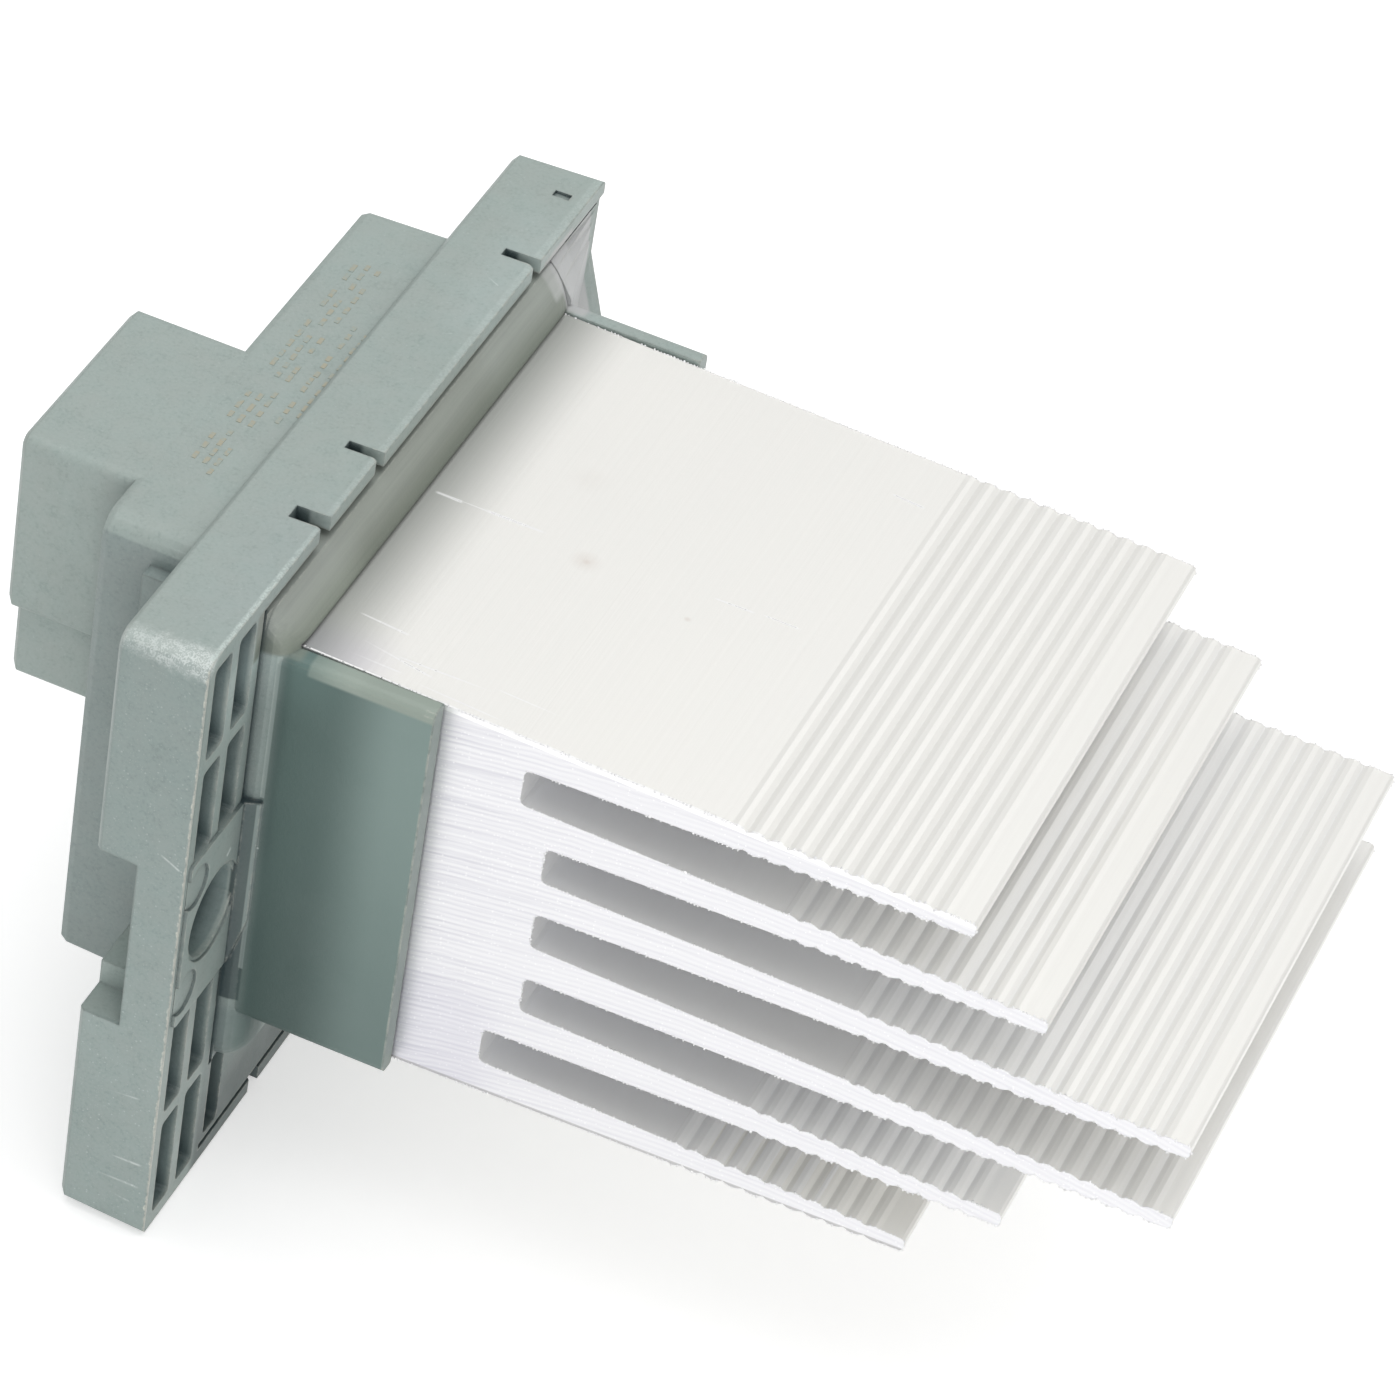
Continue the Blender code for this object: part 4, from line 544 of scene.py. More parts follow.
@dataclass(frozen=True)
class MouldedPlastic(Finish):
    """The housing's glass-filled plastic, with worn edges, a few scratches, and painted shade and highlights.
    """

    name: str = "moulded_housing"
    soft_radius: float = 0.32 * MM
    colour: Colour = (0.335, 0.405, 0.38)
    shaded: Colour = (0.28, 0.345, 0.325)
    warm: Colour = (0.335, 0.375, 0.35)
    # Light colour of the rubbed lines and edges, and of the painted highlight along the body's step.
    rubbed: Colour = (0.66, 0.67, 0.6)
    # Light colour of the lip's worn band and the boss pad's edge line, and of the painted highlight on the
    # body's round corner.
    polished: Colour = (0.56, 0.64, 0.61)
    # Dark colour of the grain's dark specks and the band's streaks, and of the painted shade in pockets,
    # slits and creases.
    crevice: Colour = (0.02, 0.042, 0.05)
    fleck: Colour = (0.6, 0.65, 0.63)
    # Light colour of the scratches and of the painted highlight on the rim's near top corner.
    shiny: Colour = (0.74, 0.79, 0.77)
    roughness: float = 0.46

    CORNER_WAY = (0.0, -0.6, 0.8)
    CORNER_REACH = (45.0 * MM, 46.0 * MM)
    TURNED_WAY = (0.0, -0.64, 0.77)
    BODY_CORNER = ((-26.0, -25.2, 28.2), (-7.9, -24.0, 29.75), 0.15)
    BAND = ((-0.35, -36.6, 30.2), (1.4, 36.6, 32.0), 0.25)
    NEAR_WALL = ((-0.6, -37.3, -31.0), (0.3, -36.8, 30.2), 0.05)
    BACK_EDGE = ((-7.95, -38.0, -31.0), (-7.74, -36.6, 29.4), 0.05)
    BODY_EDGE = ((-16.62, -25.0, -15.0), (-16.4, -24.0, 27.5), 0.08)
    LOWER_PAD_EDGE = ((1.25, -27.0, -8.5), (1.5, -26.2, 9.3), 0.12)
    UPPER_PAD_EDGE = ((1.25, -27.0, 10.0), (1.5, -26.2, 24.5), 0.12)
    LIP = ((-1.0, -40.0, -32.0), (1.2, 40.0, 32.0), 0.8)
    TIP = ((13.8, -40.0, -20.0), (16.0, 40.0, 26.0), 0.2)
    SLOPE = ((-0.2, -28.0, 24.9), (2.7, 27.2, 29.0), 0.4)
    # Painted shade and light, each in its own block of space.
    TINTS = (
        # painted shade on the rim's near face, darker towards its top
        Tint((-8.5, -38.0, -32.0), (0.3, -36.7, 32.0), 0.2, (0.9, 0.92, 0.93), (0.78, 0.81, 0.82),
             2, -14.0, 26.0, "MULTIPLY"),
        # painted shade on the body's near face
        Tint((-26.0, -25.6, -32.0), (-8.0, -24.0, 28.0), 0.3, (0.78, 0.79, 0.81), blend="MULTIPLY"),
        # painted shadow under the body's step, darkest just below it
        Tint((-26.0, -25.6, -32.0), (-16.7, -24.0, 14.2), 0.15, (0.76, 0.79, 0.82), (0.64, 0.68, 0.71),
             2, 11.4, 14.2, "MULTIPLY"),
        # painted shade in the near end's pockets and the screw hole, darker the further in
        Tint((-3.0, -36.4, -29.6), (-0.5, -26.9, 29.2), 0.3, (0.16, 0.2, 0.22), (0.7, 0.75, 0.77),
             0, -4.0, -0.5, "MULTIPLY"),
        # painted shade in the narrow channel between the boss pad and the plinth
        Tint((0.0, -27.3, -12.0), (1.4, -25.9, 9.6), 0.25, (0.17, 0.2, 0.21), (0.27, 0.3, 0.31),
             2, -6.0, 9.0, "MULTIPLY"),
        # painted shadow of the heat sink on the flange's lower part, darker towards the bottom
        Tint((-0.6, -27.6, -30.6), (3.6, 24.0, -14.0), 1.6, (0.4, 0.42, 0.43), (0.76, 0.78, 0.79),
             2, -26.0, -19.0, "MULTIPLY"),
        # painted shade on the tongue, darker towards its root
        Tint((2.4, -28.5, -20.0), (16.0, -24.0, 26.5), 2.2, (0.078, 0.123, 0.112), (0.182, 0.25, 0.232),
             0, 5.8, 12.2),
        # painted shade on the tongue, darker towards its bottom and lighter at its top
        Tint((3.0, -28.5, -20.0), (16.0, -24.0, 26.5), 1.2, (0.8, 0.83, 0.83), (1.18, 1.18, 1.18),
             2, -14.0, 20.0, "MULTIPLY"),
        # painted highlight on the tongue's rounded top edge
        Tint((4.0, -28.5, 23.9), (14.4, -24.0, 26.5), 0.35, (0.16, 0.21, 0.185), (0.3, 0.355, 0.31),
             0, 3.0, 8.0),
        # painted light on the tongue's tip face
        Tint((14.5, -28.5, -20.0), (16.0, -24.0, 26.5), 0.05, (0.25, 0.3, 0.275)),
        # painted shade and reflection on the plinth's sloped band, darker towards the root
        Tint((-1.2, -28.0, 24.9), (2.7, 27.2, 29.0), 0.6, (0.178, 0.2, 0.165), (0.3, 0.325, 0.29),
             2, 25.3, 27.9),
        # painted light at the band's near end
        Tint((-1.2, -30.0, 24.9), (2.7, -18.0, 29.0), 7.0, (1.36, 1.36, 1.38), (1.0, 1.0, 1.02),
             2, 25.4, 28.4, "MULTIPLY"),
        # painted light at the band's far end, where it meets the wing
        Tint((-1.2, 14.0, 24.9), (2.7, 27.2, 29.0), 5.0, (1.14, 1.14, 1.16), (1.1, 1.1, 1.12),
             2, 25.4, 28.4, "MULTIPLY"),
        # painted reflection on the wing beside the band's end, light grey over the green
        Tint((-1.2, 24.9, 26.6), (3.6, 30.0, 29.4), 0.6, (0.43, 0.45, 0.43), (0.46, 0.475, 0.46),
             1, 25.0, 27.0),
        # painted reflection on the wing, light grey over the green
        Tint((-0.6, 26.5, 24.6), (3.6, 30.0, 29.4), 0.7, (0.5, 0.51, 0.505)),
        # painted reflection on the lug's outer face, light grey over the green
        Tint((0.1, 27.0, 9.0), (3.6, 34.9, 29.0), 0.5, (0.6, 0.6, 0.59), (0.52, 0.53, 0.53), 2, 14.0, 23.0),
    )
    # Blocks where the painted shade in pockets, slits and creases is weakened, each by its share.
    OPENER = (
        ((-1.5, -26.0, 24.7), (3.6, 29.6, 30.4), 0.5, 0.82),
        ((-26.0, -38.0, -32.0), (-3.8, 37.0, 32.0), 0.3, 0.65),
    )
    SCRATCHES = (
        Scratch((-3.2, -37.05, -16.2), (1.0, 0.0, 0.13), 1.7, 0.16, 0.75),
        Scratch((-2.2, -37.05, -23.2), (1.0, 0.0, 0.06), 1.45, 0.18, 0.85),
        Scratch((-2.9, -37.05, -25.7), (1.0, 0.0, 0.04), 2.2, 0.19, 0.85),
        Scratch((-2.2, -37.05, -27.5), (1.0, 0.0, -0.08), 0.8, 0.15, 0.6),
        Scratch((-5.6, -37.05, -8.95), (1.0, 0.0, 0.1), 1.3, 0.18, 0.8),
        Scratch((-1.35, -37.05, 9.9), (1.0, 0.0, -0.5), 1.1, 0.16, 0.7),
        Scratch((-3.0, 2.5, 30.6), (0.5, 0.8, 0.0), 0.9, 0.12, 0.8),
        Scratch((-2.3, 10.5, 30.6), (0.9, 0.4, 0.0), 0.6, 0.11, 0.7),
        Scratch((-2.0, 19.0, 30.6), (0.9, -0.5, 0.0), 0.9, 0.12, 0.7),
        Scratch((0.35, -29.3, 5.9), (0.0, 0.7, 0.5), 0.45, 0.3, 1.2),
        Scratch((1.2, -26.5, 4.6), (1.0, 0.3, 0.1), 0.5, 0.14, 1.0),
    )

    def _seams(self, face: Surface, lumps: Socket) -> Socket:
        """Return the mask of the rubbed lines along the rim's front and its back edge, and of the painted
        highlight along the body's step.
        """
        bench = face.bench
        uneven = bench.product(bench.less(lumps, 0.4), 0.9 * MM)
        reach = bench.less(uneven, bench.math("ABSOLUTE", face.axes[0]))
        near_wall = face.block(*self.NEAR_WALL)
        seams = bench.product(near_wall, bench.ramp(reach, -0.05 * MM, 0.03 * MM))
        back_edge = face.block(*self.BACK_EDGE)
        seams = bench.greater(seams, bench.product(back_edge, bench.ramp(lumps, 0.35, 0.6, 0.35, 0.9)))
        # The body's step gets a painted highlight.
        return bench.greater(seams, bench.product(face.block(*self.BODY_EDGE), 0.22))

    def _worn(self, face: Surface, colour: Socket, open_share: Socket) -> Socket:
        """Lay the rubbed edges, the painted highlights on the round corners, the lip's worn band and a
        lighter line along the boss pad's edges over a colour.
        """
        bench = face.bench
        dust = face.grain(0.14)
        lumps = face.grain(0.55)
        speckle = bench.ramp(dust, 0.44, 0.58)
        # Painted highlight along the rim's near top corner, broken by a speckle of wear.
        along = bench.vector("DOT_PRODUCT", face.position, self.CORNER_WAY)
        along = bench.sum(along, bench.product(bench.less(lumps, 0.5), 1.5 * MM))
        corner = bench.product(bench.ramp(along, *self.CORNER_REACH), face.run(0, -8.0, -1.0, 0.6, 1.0))
        colour = bench.laid(colour, self.shiny, corner, bench.ramp(speckle, 0.0, 1.0, 0.24, 0.74))
        # Painted highlight on the body's round corner, where the soft normal faces up and out.
        body_corner = face.block(*self.BODY_CORNER)
        turned = bench.ramp(bench.vector("DOT_PRODUCT", face.soft_normal, self.TURNED_WAY), 0.93, 1.0)
        colour = bench.laid(colour, self.polished, body_corner, turned, 0.5)
        upward = bench.ramp(bench.split(face.flat_normal)[2], 0.9, 0.97)
        band = face.block(*self.BAND)
        near_end = face.run(1, -27.0, -17.0, 1.0, 0.35)
        shine = bench.ramp(speckle, 0.0, 1.0, 0.3, 0.9)
        colour = bench.laid(colour, self.polished, band, upward, near_end, shine)
        seams = self._seams(face, lumps)
        colour = bench.laid(colour, self.rubbed, seams, bench.ramp(speckle, 0.0, 1.0, 0.55, 0.95))
        pad_edge = bench.greater(face.block(*self.LOWER_PAD_EDGE), face.block(*self.UPPER_PAD_EDGE))
        colour = bench.laid(colour, self.polished, pad_edge, 0.3)
        lip = face.block(*self.LIP)
        tip = face.block(*self.TIP)
        convex = bench.ramp(open_share, 0.6, 0.8)
        worn = bench.product(face.worn_edge(0.012, 0.13, 0.9 * MM), convex)
        share = bench.sum(bench.product(bench.greater(lip, tip), 0.72), 0.14)
        return bench.laid(colour, self.rubbed, worn, share)

    def dress(self, face: Surface) -> bpy.types.Material:
        """Set out the nodes and return the material."""
        bench = face.bench
        grain = face.grain(0.32)
        tone = face.smudges(9.0, 0.22)
        hue = face.smudges(3.1, 0.3)
        colour = bench.laid(self.colour, self.shaded, tone, 0.3)
        colour = bench.laid(colour, self.warm, hue, 0.55)
        colour = bench.laid(colour, self.fleck, bench.ramp(grain, 0.35, 0.62, 0.0, 0.1))
        colour = bench.laid(colour, self.crevice, bench.ramp(grain, 0.3, 0.45, 0.1, 0.0))
        near_wall = face.run(1, -36.6, -36.2, 1.0, 0.3)
        for size, amount, strength in ((0.36, 0.16, 0.5), (0.22, 0.3, 0.3)):
            colour = bench.laid(colour, self.fleck, face.flecks(size, amount), near_wall, strength)
        colour = face.tinted(colour, self.TINTS)
        wipes = face.lines((2300.0, 45.0, 2300.0), 0.3)
        colour = bench.laid(colour, self.crevice, face.block(*self.SLOPE), wipes, 0.1)
        open_share = face.openness(3.2)
        # Painted shade in pockets, slits and creases, from how closed in each place is.
        painted_occlusion_shade = bench.ramp(open_share, 0.3, 0.93, 0.93, 0.0)
        for low, high, softness, relief in self.OPENER:
            painted_occlusion_shade = bench.product(painted_occlusion_shade, bench.inverse(bench.product(face.block(low, high, softness), relief)))
        colour = bench.mixed(painted_occlusion_shade, colour, self.crevice)
        colour = self._worn(face, colour, open_share)
        marks = face.scratches(self.SCRATCHES)
        broken = bench.ramp(face.grain(0.5), 0.42, 0.56)
        colour = bench.laid(colour, self.shiny, marks, bench.ramp(broken, 0.0, 0.7, 0.5, 1.0), 0.75)
        rough = bench.ramp(tone, 0.0, 1.0, self.roughness - 0.05, self.roughness + 0.06)
        return face.finish(colour, rough, grain, 0.032 * MM)


@dataclass(frozen=True)
class ExtrudedAluminium(Finish):
    """Bare extruded aluminium with sawn ends, ribbed fins and a few scratches, with painted light and shade.
    """

    name: str = "extruded_aluminium"
    skin: Colour = (0.915, 0.908, 0.875)
    skin_dull: Colour = (0.885, 0.875, 0.84)
    # Painted light where the fins cover each other: brighter and cooler than the open skin, brightest on the
    # ribbed length, with painted shade in those rib grooves.
    deep: Colour = (0.895, 0.9, 0.915)
    deep_ribs: Colour = (0.985, 0.99, 1.0)
    deep_groove: Colour = (0.86, 0.87, 0.9)
    sawn: Colour = (0.85, 0.848, 0.865)
    sawn_line: Colour = (0.69, 0.685, 0.735)
    # Painted shade along the bottom edge of the sawn ends.
    underside: Colour = (0.3, 0.29, 0.28)
    # Painted shade in the rib grooves.
    groove: Colour = (0.66, 0.655, 0.64)
    # White for the scratches, the painted glints on the sawn ends and the edges, whose white line is partly a
    # painted highlight.
    bright: Colour = WHITE
    spot: Colour = (0.62, 0.52, 0.45)
    rib_pitch: float = 1.74 * MM
    rib_starts: Triple = (38.4 * MM, 43.8 * MM, 50.7 * MM)
    stack_middle: float = 5.4 * MM
    stack_half: float = 16.2 * MM
    fin_levels: tuple[float, float] = (7.2 * MM, 13.9 * MM)
    outer_slope: float = 0.0276
    outer_root: float = 2.46 * MM
    saw_centre: tuple[float, float] = (47.0 * MM, -155.0 * MM)
    saw_pitch: float = 0.52 * MM
    # Where the painted highlight along the sawn ends' top edge and the painted shade along their bottom edge
    # run, by reach from the stack's middle.
    top_edge: tuple[float, float] = (18.72 * MM, 18.8 * MM)
    low_edge: tuple[float, float] = (18.92 * MM, 19.06 * MM)

    # Painted shade on the outer fins' faces near the root, a painted lilac shade near the near corner, and a
    # painted highlight along the top fin's near edge.
    ROOT_SHADE = (
        Tint((2.0, -26.0, 23.6), (13.0, 27.0, 26.0), 0.3, (0.4, 0.42, 0.41), (1.0, 1.0, 1.0),
             0, 1.6, 9.6, "MULTIPLY"),
        Tint((2.0, -26.0, -16.0), (13.0, 27.0, -13.0), 0.3, (0.4, 0.42, 0.41), (1.0, 1.0, 1.0),
             0, 1.6, 9.6, "MULTIPLY"),
        # painted lilac shade near the top fin's near root corner
        Tint((2.0, -26.0, 23.6), (6.0, -23.5, 26.0), 5.0, (0.9, 0.89, 0.95), blend="MULTIPLY"),
        # painted highlight along the top fin's near edge
        Tint((3.0, -24.4, 23.6), (58.0, -24.22, 26.0), 0.08, (1.0, 1.0, 1.0)),
    )
    SAWN_SHADE = (
        Tint((0.0, -30.0, -16.0), (20.0, -20.0, -6.0), 5.0, (0.92, 0.915, 0.945), blend="MULTIPLY"),
    )
    SCRATCHES = (
        Scratch((4.3, -1.48, 24.5), (1.0, 0.02, 0.0), 1.3, 0.26, 1.0),
        Scratch((10.0, -1.22, 24.5), (1.0, 0.035, 0.0), 2.9, 0.24, 1.0),
        Scratch((6.4, -1.35, 24.5), (1.0, 0.03, 0.0), 1.5, 0.12, 0.7),
        Scratch((36.0, 19.65, 23.7), (1.0, -0.05, 0.0), 1.6, 0.2, 1.0),
        Scratch((6.6, -18.4, 24.5), (1.0, -0.06, 0.0), 2.4, 0.18, 0.8),
        Scratch((8.6, -21.45, 24.4), (1.0, -0.16, 0.0), 4.2, 0.18, 0.9),
        Scratch((13.0, -21.1, 24.4), (1.0, 0.05, 0.0), 4.6, 0.16, 0.8),
        Scratch((7.0, -22.9, 24.4), (1.0, 0.0, 0.0), 3.4, 0.18, 0.9),
        Scratch((14.5, -23.4, 24.3), (1.0, -0.03, 0.0), 5.0, 0.14, 0.7),
        Scratch((5.6, -19.8, 24.4), (1.0, 0.0, 0.0), 1.6, 0.14, 0.7),
        Scratch((29.0, -0.6, 23.9), (1.0, 0.05, 0.0), 1.9, 0.16, 0.9),
        Scratch((33.0, -0.3, 23.8), (1.0, 0.03, 0.0), 1.7, 0.15, 0.9),
        Scratch((21.0, -20.5, 24.2), (1.0, -0.02, 0.0), 4.0, 0.12, 0.6),
    )
    SPOTS = (
        ((16.8, -2.45, 24.3), 1.6, 0.2),
        ((16.9, -2.5, 24.3), 0.45, 0.25),
        ((26.5, -4.3, 24.0), 0.4, 0.3),
        ((13.0, 7.0, 24.4), 2.2, 0.06),
    )

    def _rib_valleys(self, face: Surface, level: Socket) -> tuple[Socket, Socket]:
        """Return the mask of the grooves between the fins' fine ribs, and of the ribbed length."""
        bench = face.bench
        outer, middle, inner = self.rib_starts
        past_first = bench.math("GREATER_THAN", level, self.fin_levels[0])
        past_second = bench.math("GREATER_THAN", level, self.fin_levels[1])
        start = bench.ramp(past_first, 0.0, 1.0, inner, middle, Step.LINEAR)
        start = bench.less(start, bench.product(past_second, middle - outer))
        along = bench.math("DIVIDE", bench.less(face.axes[0], start), self.rib_pitch)
        wave = bench.math("COSINE", bench.product(along, TURN))
        valley = bench.ramp(wave, 0.25, 0.95)
        ribbed = bench.math("GREATER_THAN", along, 0.3)
        return bench.product(valley, ribbed), ribbed

    def _saw_place(self, face: Surface) -> Socket:
        """Return the position bent round the saw's centre, so that lines of one radius are arcs."""
        bench = face.bench
        x, y, z = face.axes
        across = bench.less(x, self.saw_centre[0])
        up = bench.less(z, self.saw_centre[1])
        return bench.joined(across, y, bench.vector("LENGTH", bench.joined(across, 0.0, up)))

    def _skin(self, face: Surface, dull: Socket, marks: Socket, level: Socket) -> Socket:
        """Return the extruded skin's colour: dull patches, painted light where the fins cover each other,
        painted shade in the rib grooves, painted shade and an edge highlight near the root, spots and
        scratches.
        """
        bench = face.bench
        skin = bench.mixed(dull, self.skin, self.skin_dull)
        valley, ribbed = self._rib_valleys(face, level)
        # Painted light where the fins cover each other, in place of the light bounced between them.
        covered = bench.product(bench.ramp(face.openness(7.0), 0.45, 0.85, 1.0, 0.0),
                                bench.math("LESS_THAN", level, self.stack_half))
        skin = bench.mixed(covered, skin, bench.mixed(ribbed, self.deep, self.deep_ribs))
        # Painted shade in the rib grooves, stronger where the fins cover each other.
        groove_share = bench.ramp(covered, 0.0, 1.0, 0.03, 0.24, Step.LINEAR)
        groove = bench.mixed(covered, self.groove, self.deep_groove)
        skin = bench.laid(skin, groove, valley, groove_share)
        skin = face.tinted(skin, self.ROOT_SHADE)
        for middle, radius, strength in self.SPOTS:
            skin = bench.laid(skin, self.spot, face.spot(middle, radius), strength)
        return bench.mixed(marks, skin, self.bright)

    def _sawn(self, face: Surface, saw: Socket, level: Socket) -> Socket:
        """Return the sawn ends' colour: saw lines, painted glints, painted shade, a painted highlight along
        the stack's top edge and painted shade along its bottom edge.
        """
        bench = face.bench
        sawn = bench.laid(self.sawn, self.sawn_line, saw, face.run(0, 14.0, 34.0, 1.0, 0.5))
        # Painted glints on the sawn ends.
        sawn = bench.laid(sawn, self.bright, face.flecks(0.3, 0.3), 0.7)
        sawn = face.tinted(sawn, self.SAWN_SHADE)
        # Painted highlight along the top edge of the sawn end, painted shade along its bottom edge.
        fallen = bench.product(bench.less(face.axes[0], self.outer_root), self.outer_slope)
        reach = bench.sum(level, fallen)
        above = bench.math("GREATER_THAN", face.axes[2], self.stack_middle)
        sawn = bench.laid(sawn, WHITE, bench.ramp(reach, *self.top_edge), above)
        low_edge = bench.product(bench.ramp(reach, *self.low_edge), bench.inverse(above))
        return bench.laid(sawn, self.underside, low_edge, 0.55)

    def dress(self, face: Surface) -> bpy.types.Material:
        """Set out the nodes and return the material."""
        bench = face.bench
        cut_face = bench.ramp(bench.math("ABSOLUTE", bench.split(face.flat_normal)[1]), 0.6, 0.8)
        die_lines = face.lines((2600.0, 9.0, 2600.0), 0.3)
        dull = bench.sum(bench.product(die_lines, 0.3), bench.product(face.smudges(16.0, 0.25), 0.45))
        level = bench.math("ABSOLUTE", bench.less(face.axes[2], self.stack_middle))
        marks = face.scratches(self.SCRATCHES)
        skin = self._skin(face, dull, marks, level)
        bent = self._saw_place(face)
        drift = bench.product(bench.noise(face.position, 260.0, 2.0), 7.0)
        turns = bench.product(bench.split(bent)[2], TURN / self.saw_pitch)
        wave = bench.ramp(bench.math("SINE", bench.sum(turns, drift)), -0.9, 1.0)
        lines = face.lines((60.0, 20.0, 3400.0), 0.2, Position=bent)
        saw = bench.sum(bench.product(wave, 0.4), bench.product(lines, 0.55), clamp=True)
        saw_height = face.place(face.effects.streaks, "Height", Position=bent,
                                Cells_per_Metre=(30.0, 20.0, 2700.0))
        colour = bench.mixed(cut_face, skin, self._sawn(face, saw, level))
        # Edges turned white: partly a burred edge, partly a painted highlight.
        colour = bench.laid(colour, self.bright, face.worn_edge(0.01, 0.1, 0.6 * MM), 0.6)
        skin_rough = bench.ramp(dull, 0.0, 0.8, 0.42, 0.52)
        rough = bench.ramp(cut_face, 0.0, 1.0, skin_rough, bench.ramp(saw, 0.0, 1.0, 0.34, 0.5), Step.LINEAR)
        rough = bench.less(rough, bench.product(marks, 0.2))
        height = bench.ramp(cut_face, 0.0, 1.0, bench.product(die_lines, 0.12), saw_height, Step.LINEAR)
        metal = bench.ramp(cut_face, 0.0, 1.0, 0.4, 0.7, Step.LINEAR)
        return face.finish(colour, rough, height, 0.05 * MM, metal)


@dataclass(frozen=True)
class PlainFinish(Finish):
    """A smaller piece's finish: grain, soft patches and rubbed edges over two tones.

    The grain's size and depth are in millimetres.
    """

    name: str
    colour: Colour
    second: Colour
    rubbed: Colour
    roughness: float
    metallic: float = 0.0
    grain: float = 0.15
    depth: float = 0.01
    wear: float = 0.5
    coat: float = 0.0

    def dress(self, face: Surface) -> bpy.types.Material:
        """Set out the nodes and return the material."""
        bench = face.bench
        grain = face.grain(self.grain)
        tone = face.smudges(2.5, 0.2)
        colour = bench.laid(self.colour, self.second, tone, 0.7)
        colour = bench.laid(colour, self.rubbed, face.worn_edge(0.01, 0.12, 0.4 * MM), self.wear)
        uneven = bench.sum(bench.product(tone, 0.6), bench.product(grain, 0.4))
        rough = bench.ramp(uneven, 0.1, 0.9, self.roughness - 0.07, self.roughness + 0.09)
        plain = {"Coat_Weight": self.coat, "Coat_Roughness": 0.12} if self.coat else {}
        return face.finish(colour, rough, grain, self.depth * MM, self.metallic, **plain)


@dataclass(frozen=True)
class BoardFinish(Finish):
    """Solder-masked fibreglass with copper tracks showing faintly under the mask."""

    name: str = "solder_masked_board"
    soft_radius: float = 0.1 * MM
    mask: Colour = (0.022, 0.13, 0.05)
    over_copper: Colour = (0.06, 0.24, 0.09)
    weave: float = 1.1 * MM

    def dress(self, face: Surface) -> bpy.types.Material:
        """Set out the nodes and return the material."""
        bench = face.bench
        _, y, z = face.axes
        tracks = bench.node("ShaderNodeTexBrick", {
            "Vector": bench.joined(y, z, 0.0), "Scale": 1.0, "Brick Width": 7.3 * MM, "Row Height": 2.9 * MM,
            "Mortar Size": 0.35 * MM, "Mortar Smooth": 0.2, "Bias": 0.0,
            "Color1": WHITE, "Color2": (0.55, 0.55, 0.55), "Mortar": (0.0, 0.0, 0.0)})
        copper = bench.split(tracks.outputs["Color"])[0]
        threads = [bench.math("SINE", bench.product(part, TURN / self.weave)) for part in (y, z)]
        cloth = bench.product(*threads, 0.5)
        colour = bench.laid(self.mask, self.over_copper, copper, 0.8)
        colour = bench.laid(colour, self.over_copper, bench.ramp(cloth, -0.5, 0.5, 0.0, 0.18))
        height = bench.sum(bench.product(copper, 0.8), bench.product(cloth, 0.2))
        rough = bench.ramp(cloth, -0.5, 0.5, 0.3, 0.38)
        return face.finish(colour, rough, height, 0.04 * MM)


@dataclass(frozen=True)
class InkFinish(Finish):
    """Tan ink on the moulding, with the plastic showing through in places."""

    name: str = "tan_ink"
    soft_radius: float = 0.002 * MM
    ink: Colour = (0.44, 0.375, 0.25)
    under: Colour = (0.335, 0.395, 0.365)

    def dress(self, face: Surface) -> bpy.types.Material:
        """Set out the nodes and return the material."""
        bench = face.bench
        dots = face.flecks(0.34, 0.75)
        grain = face.grain(0.42)
        share = bench.sum(bench.product(dots, 0.3), bench.ramp(grain, 0.36, 0.6, 0.0, 0.6), clamp=True)
        colour = bench.mixed(share, self.under, self.ink)
        return face.finish(colour, bench.ramp(grain, 0.3, 0.7, 0.42, 0.55), grain, 0.02 * MM)


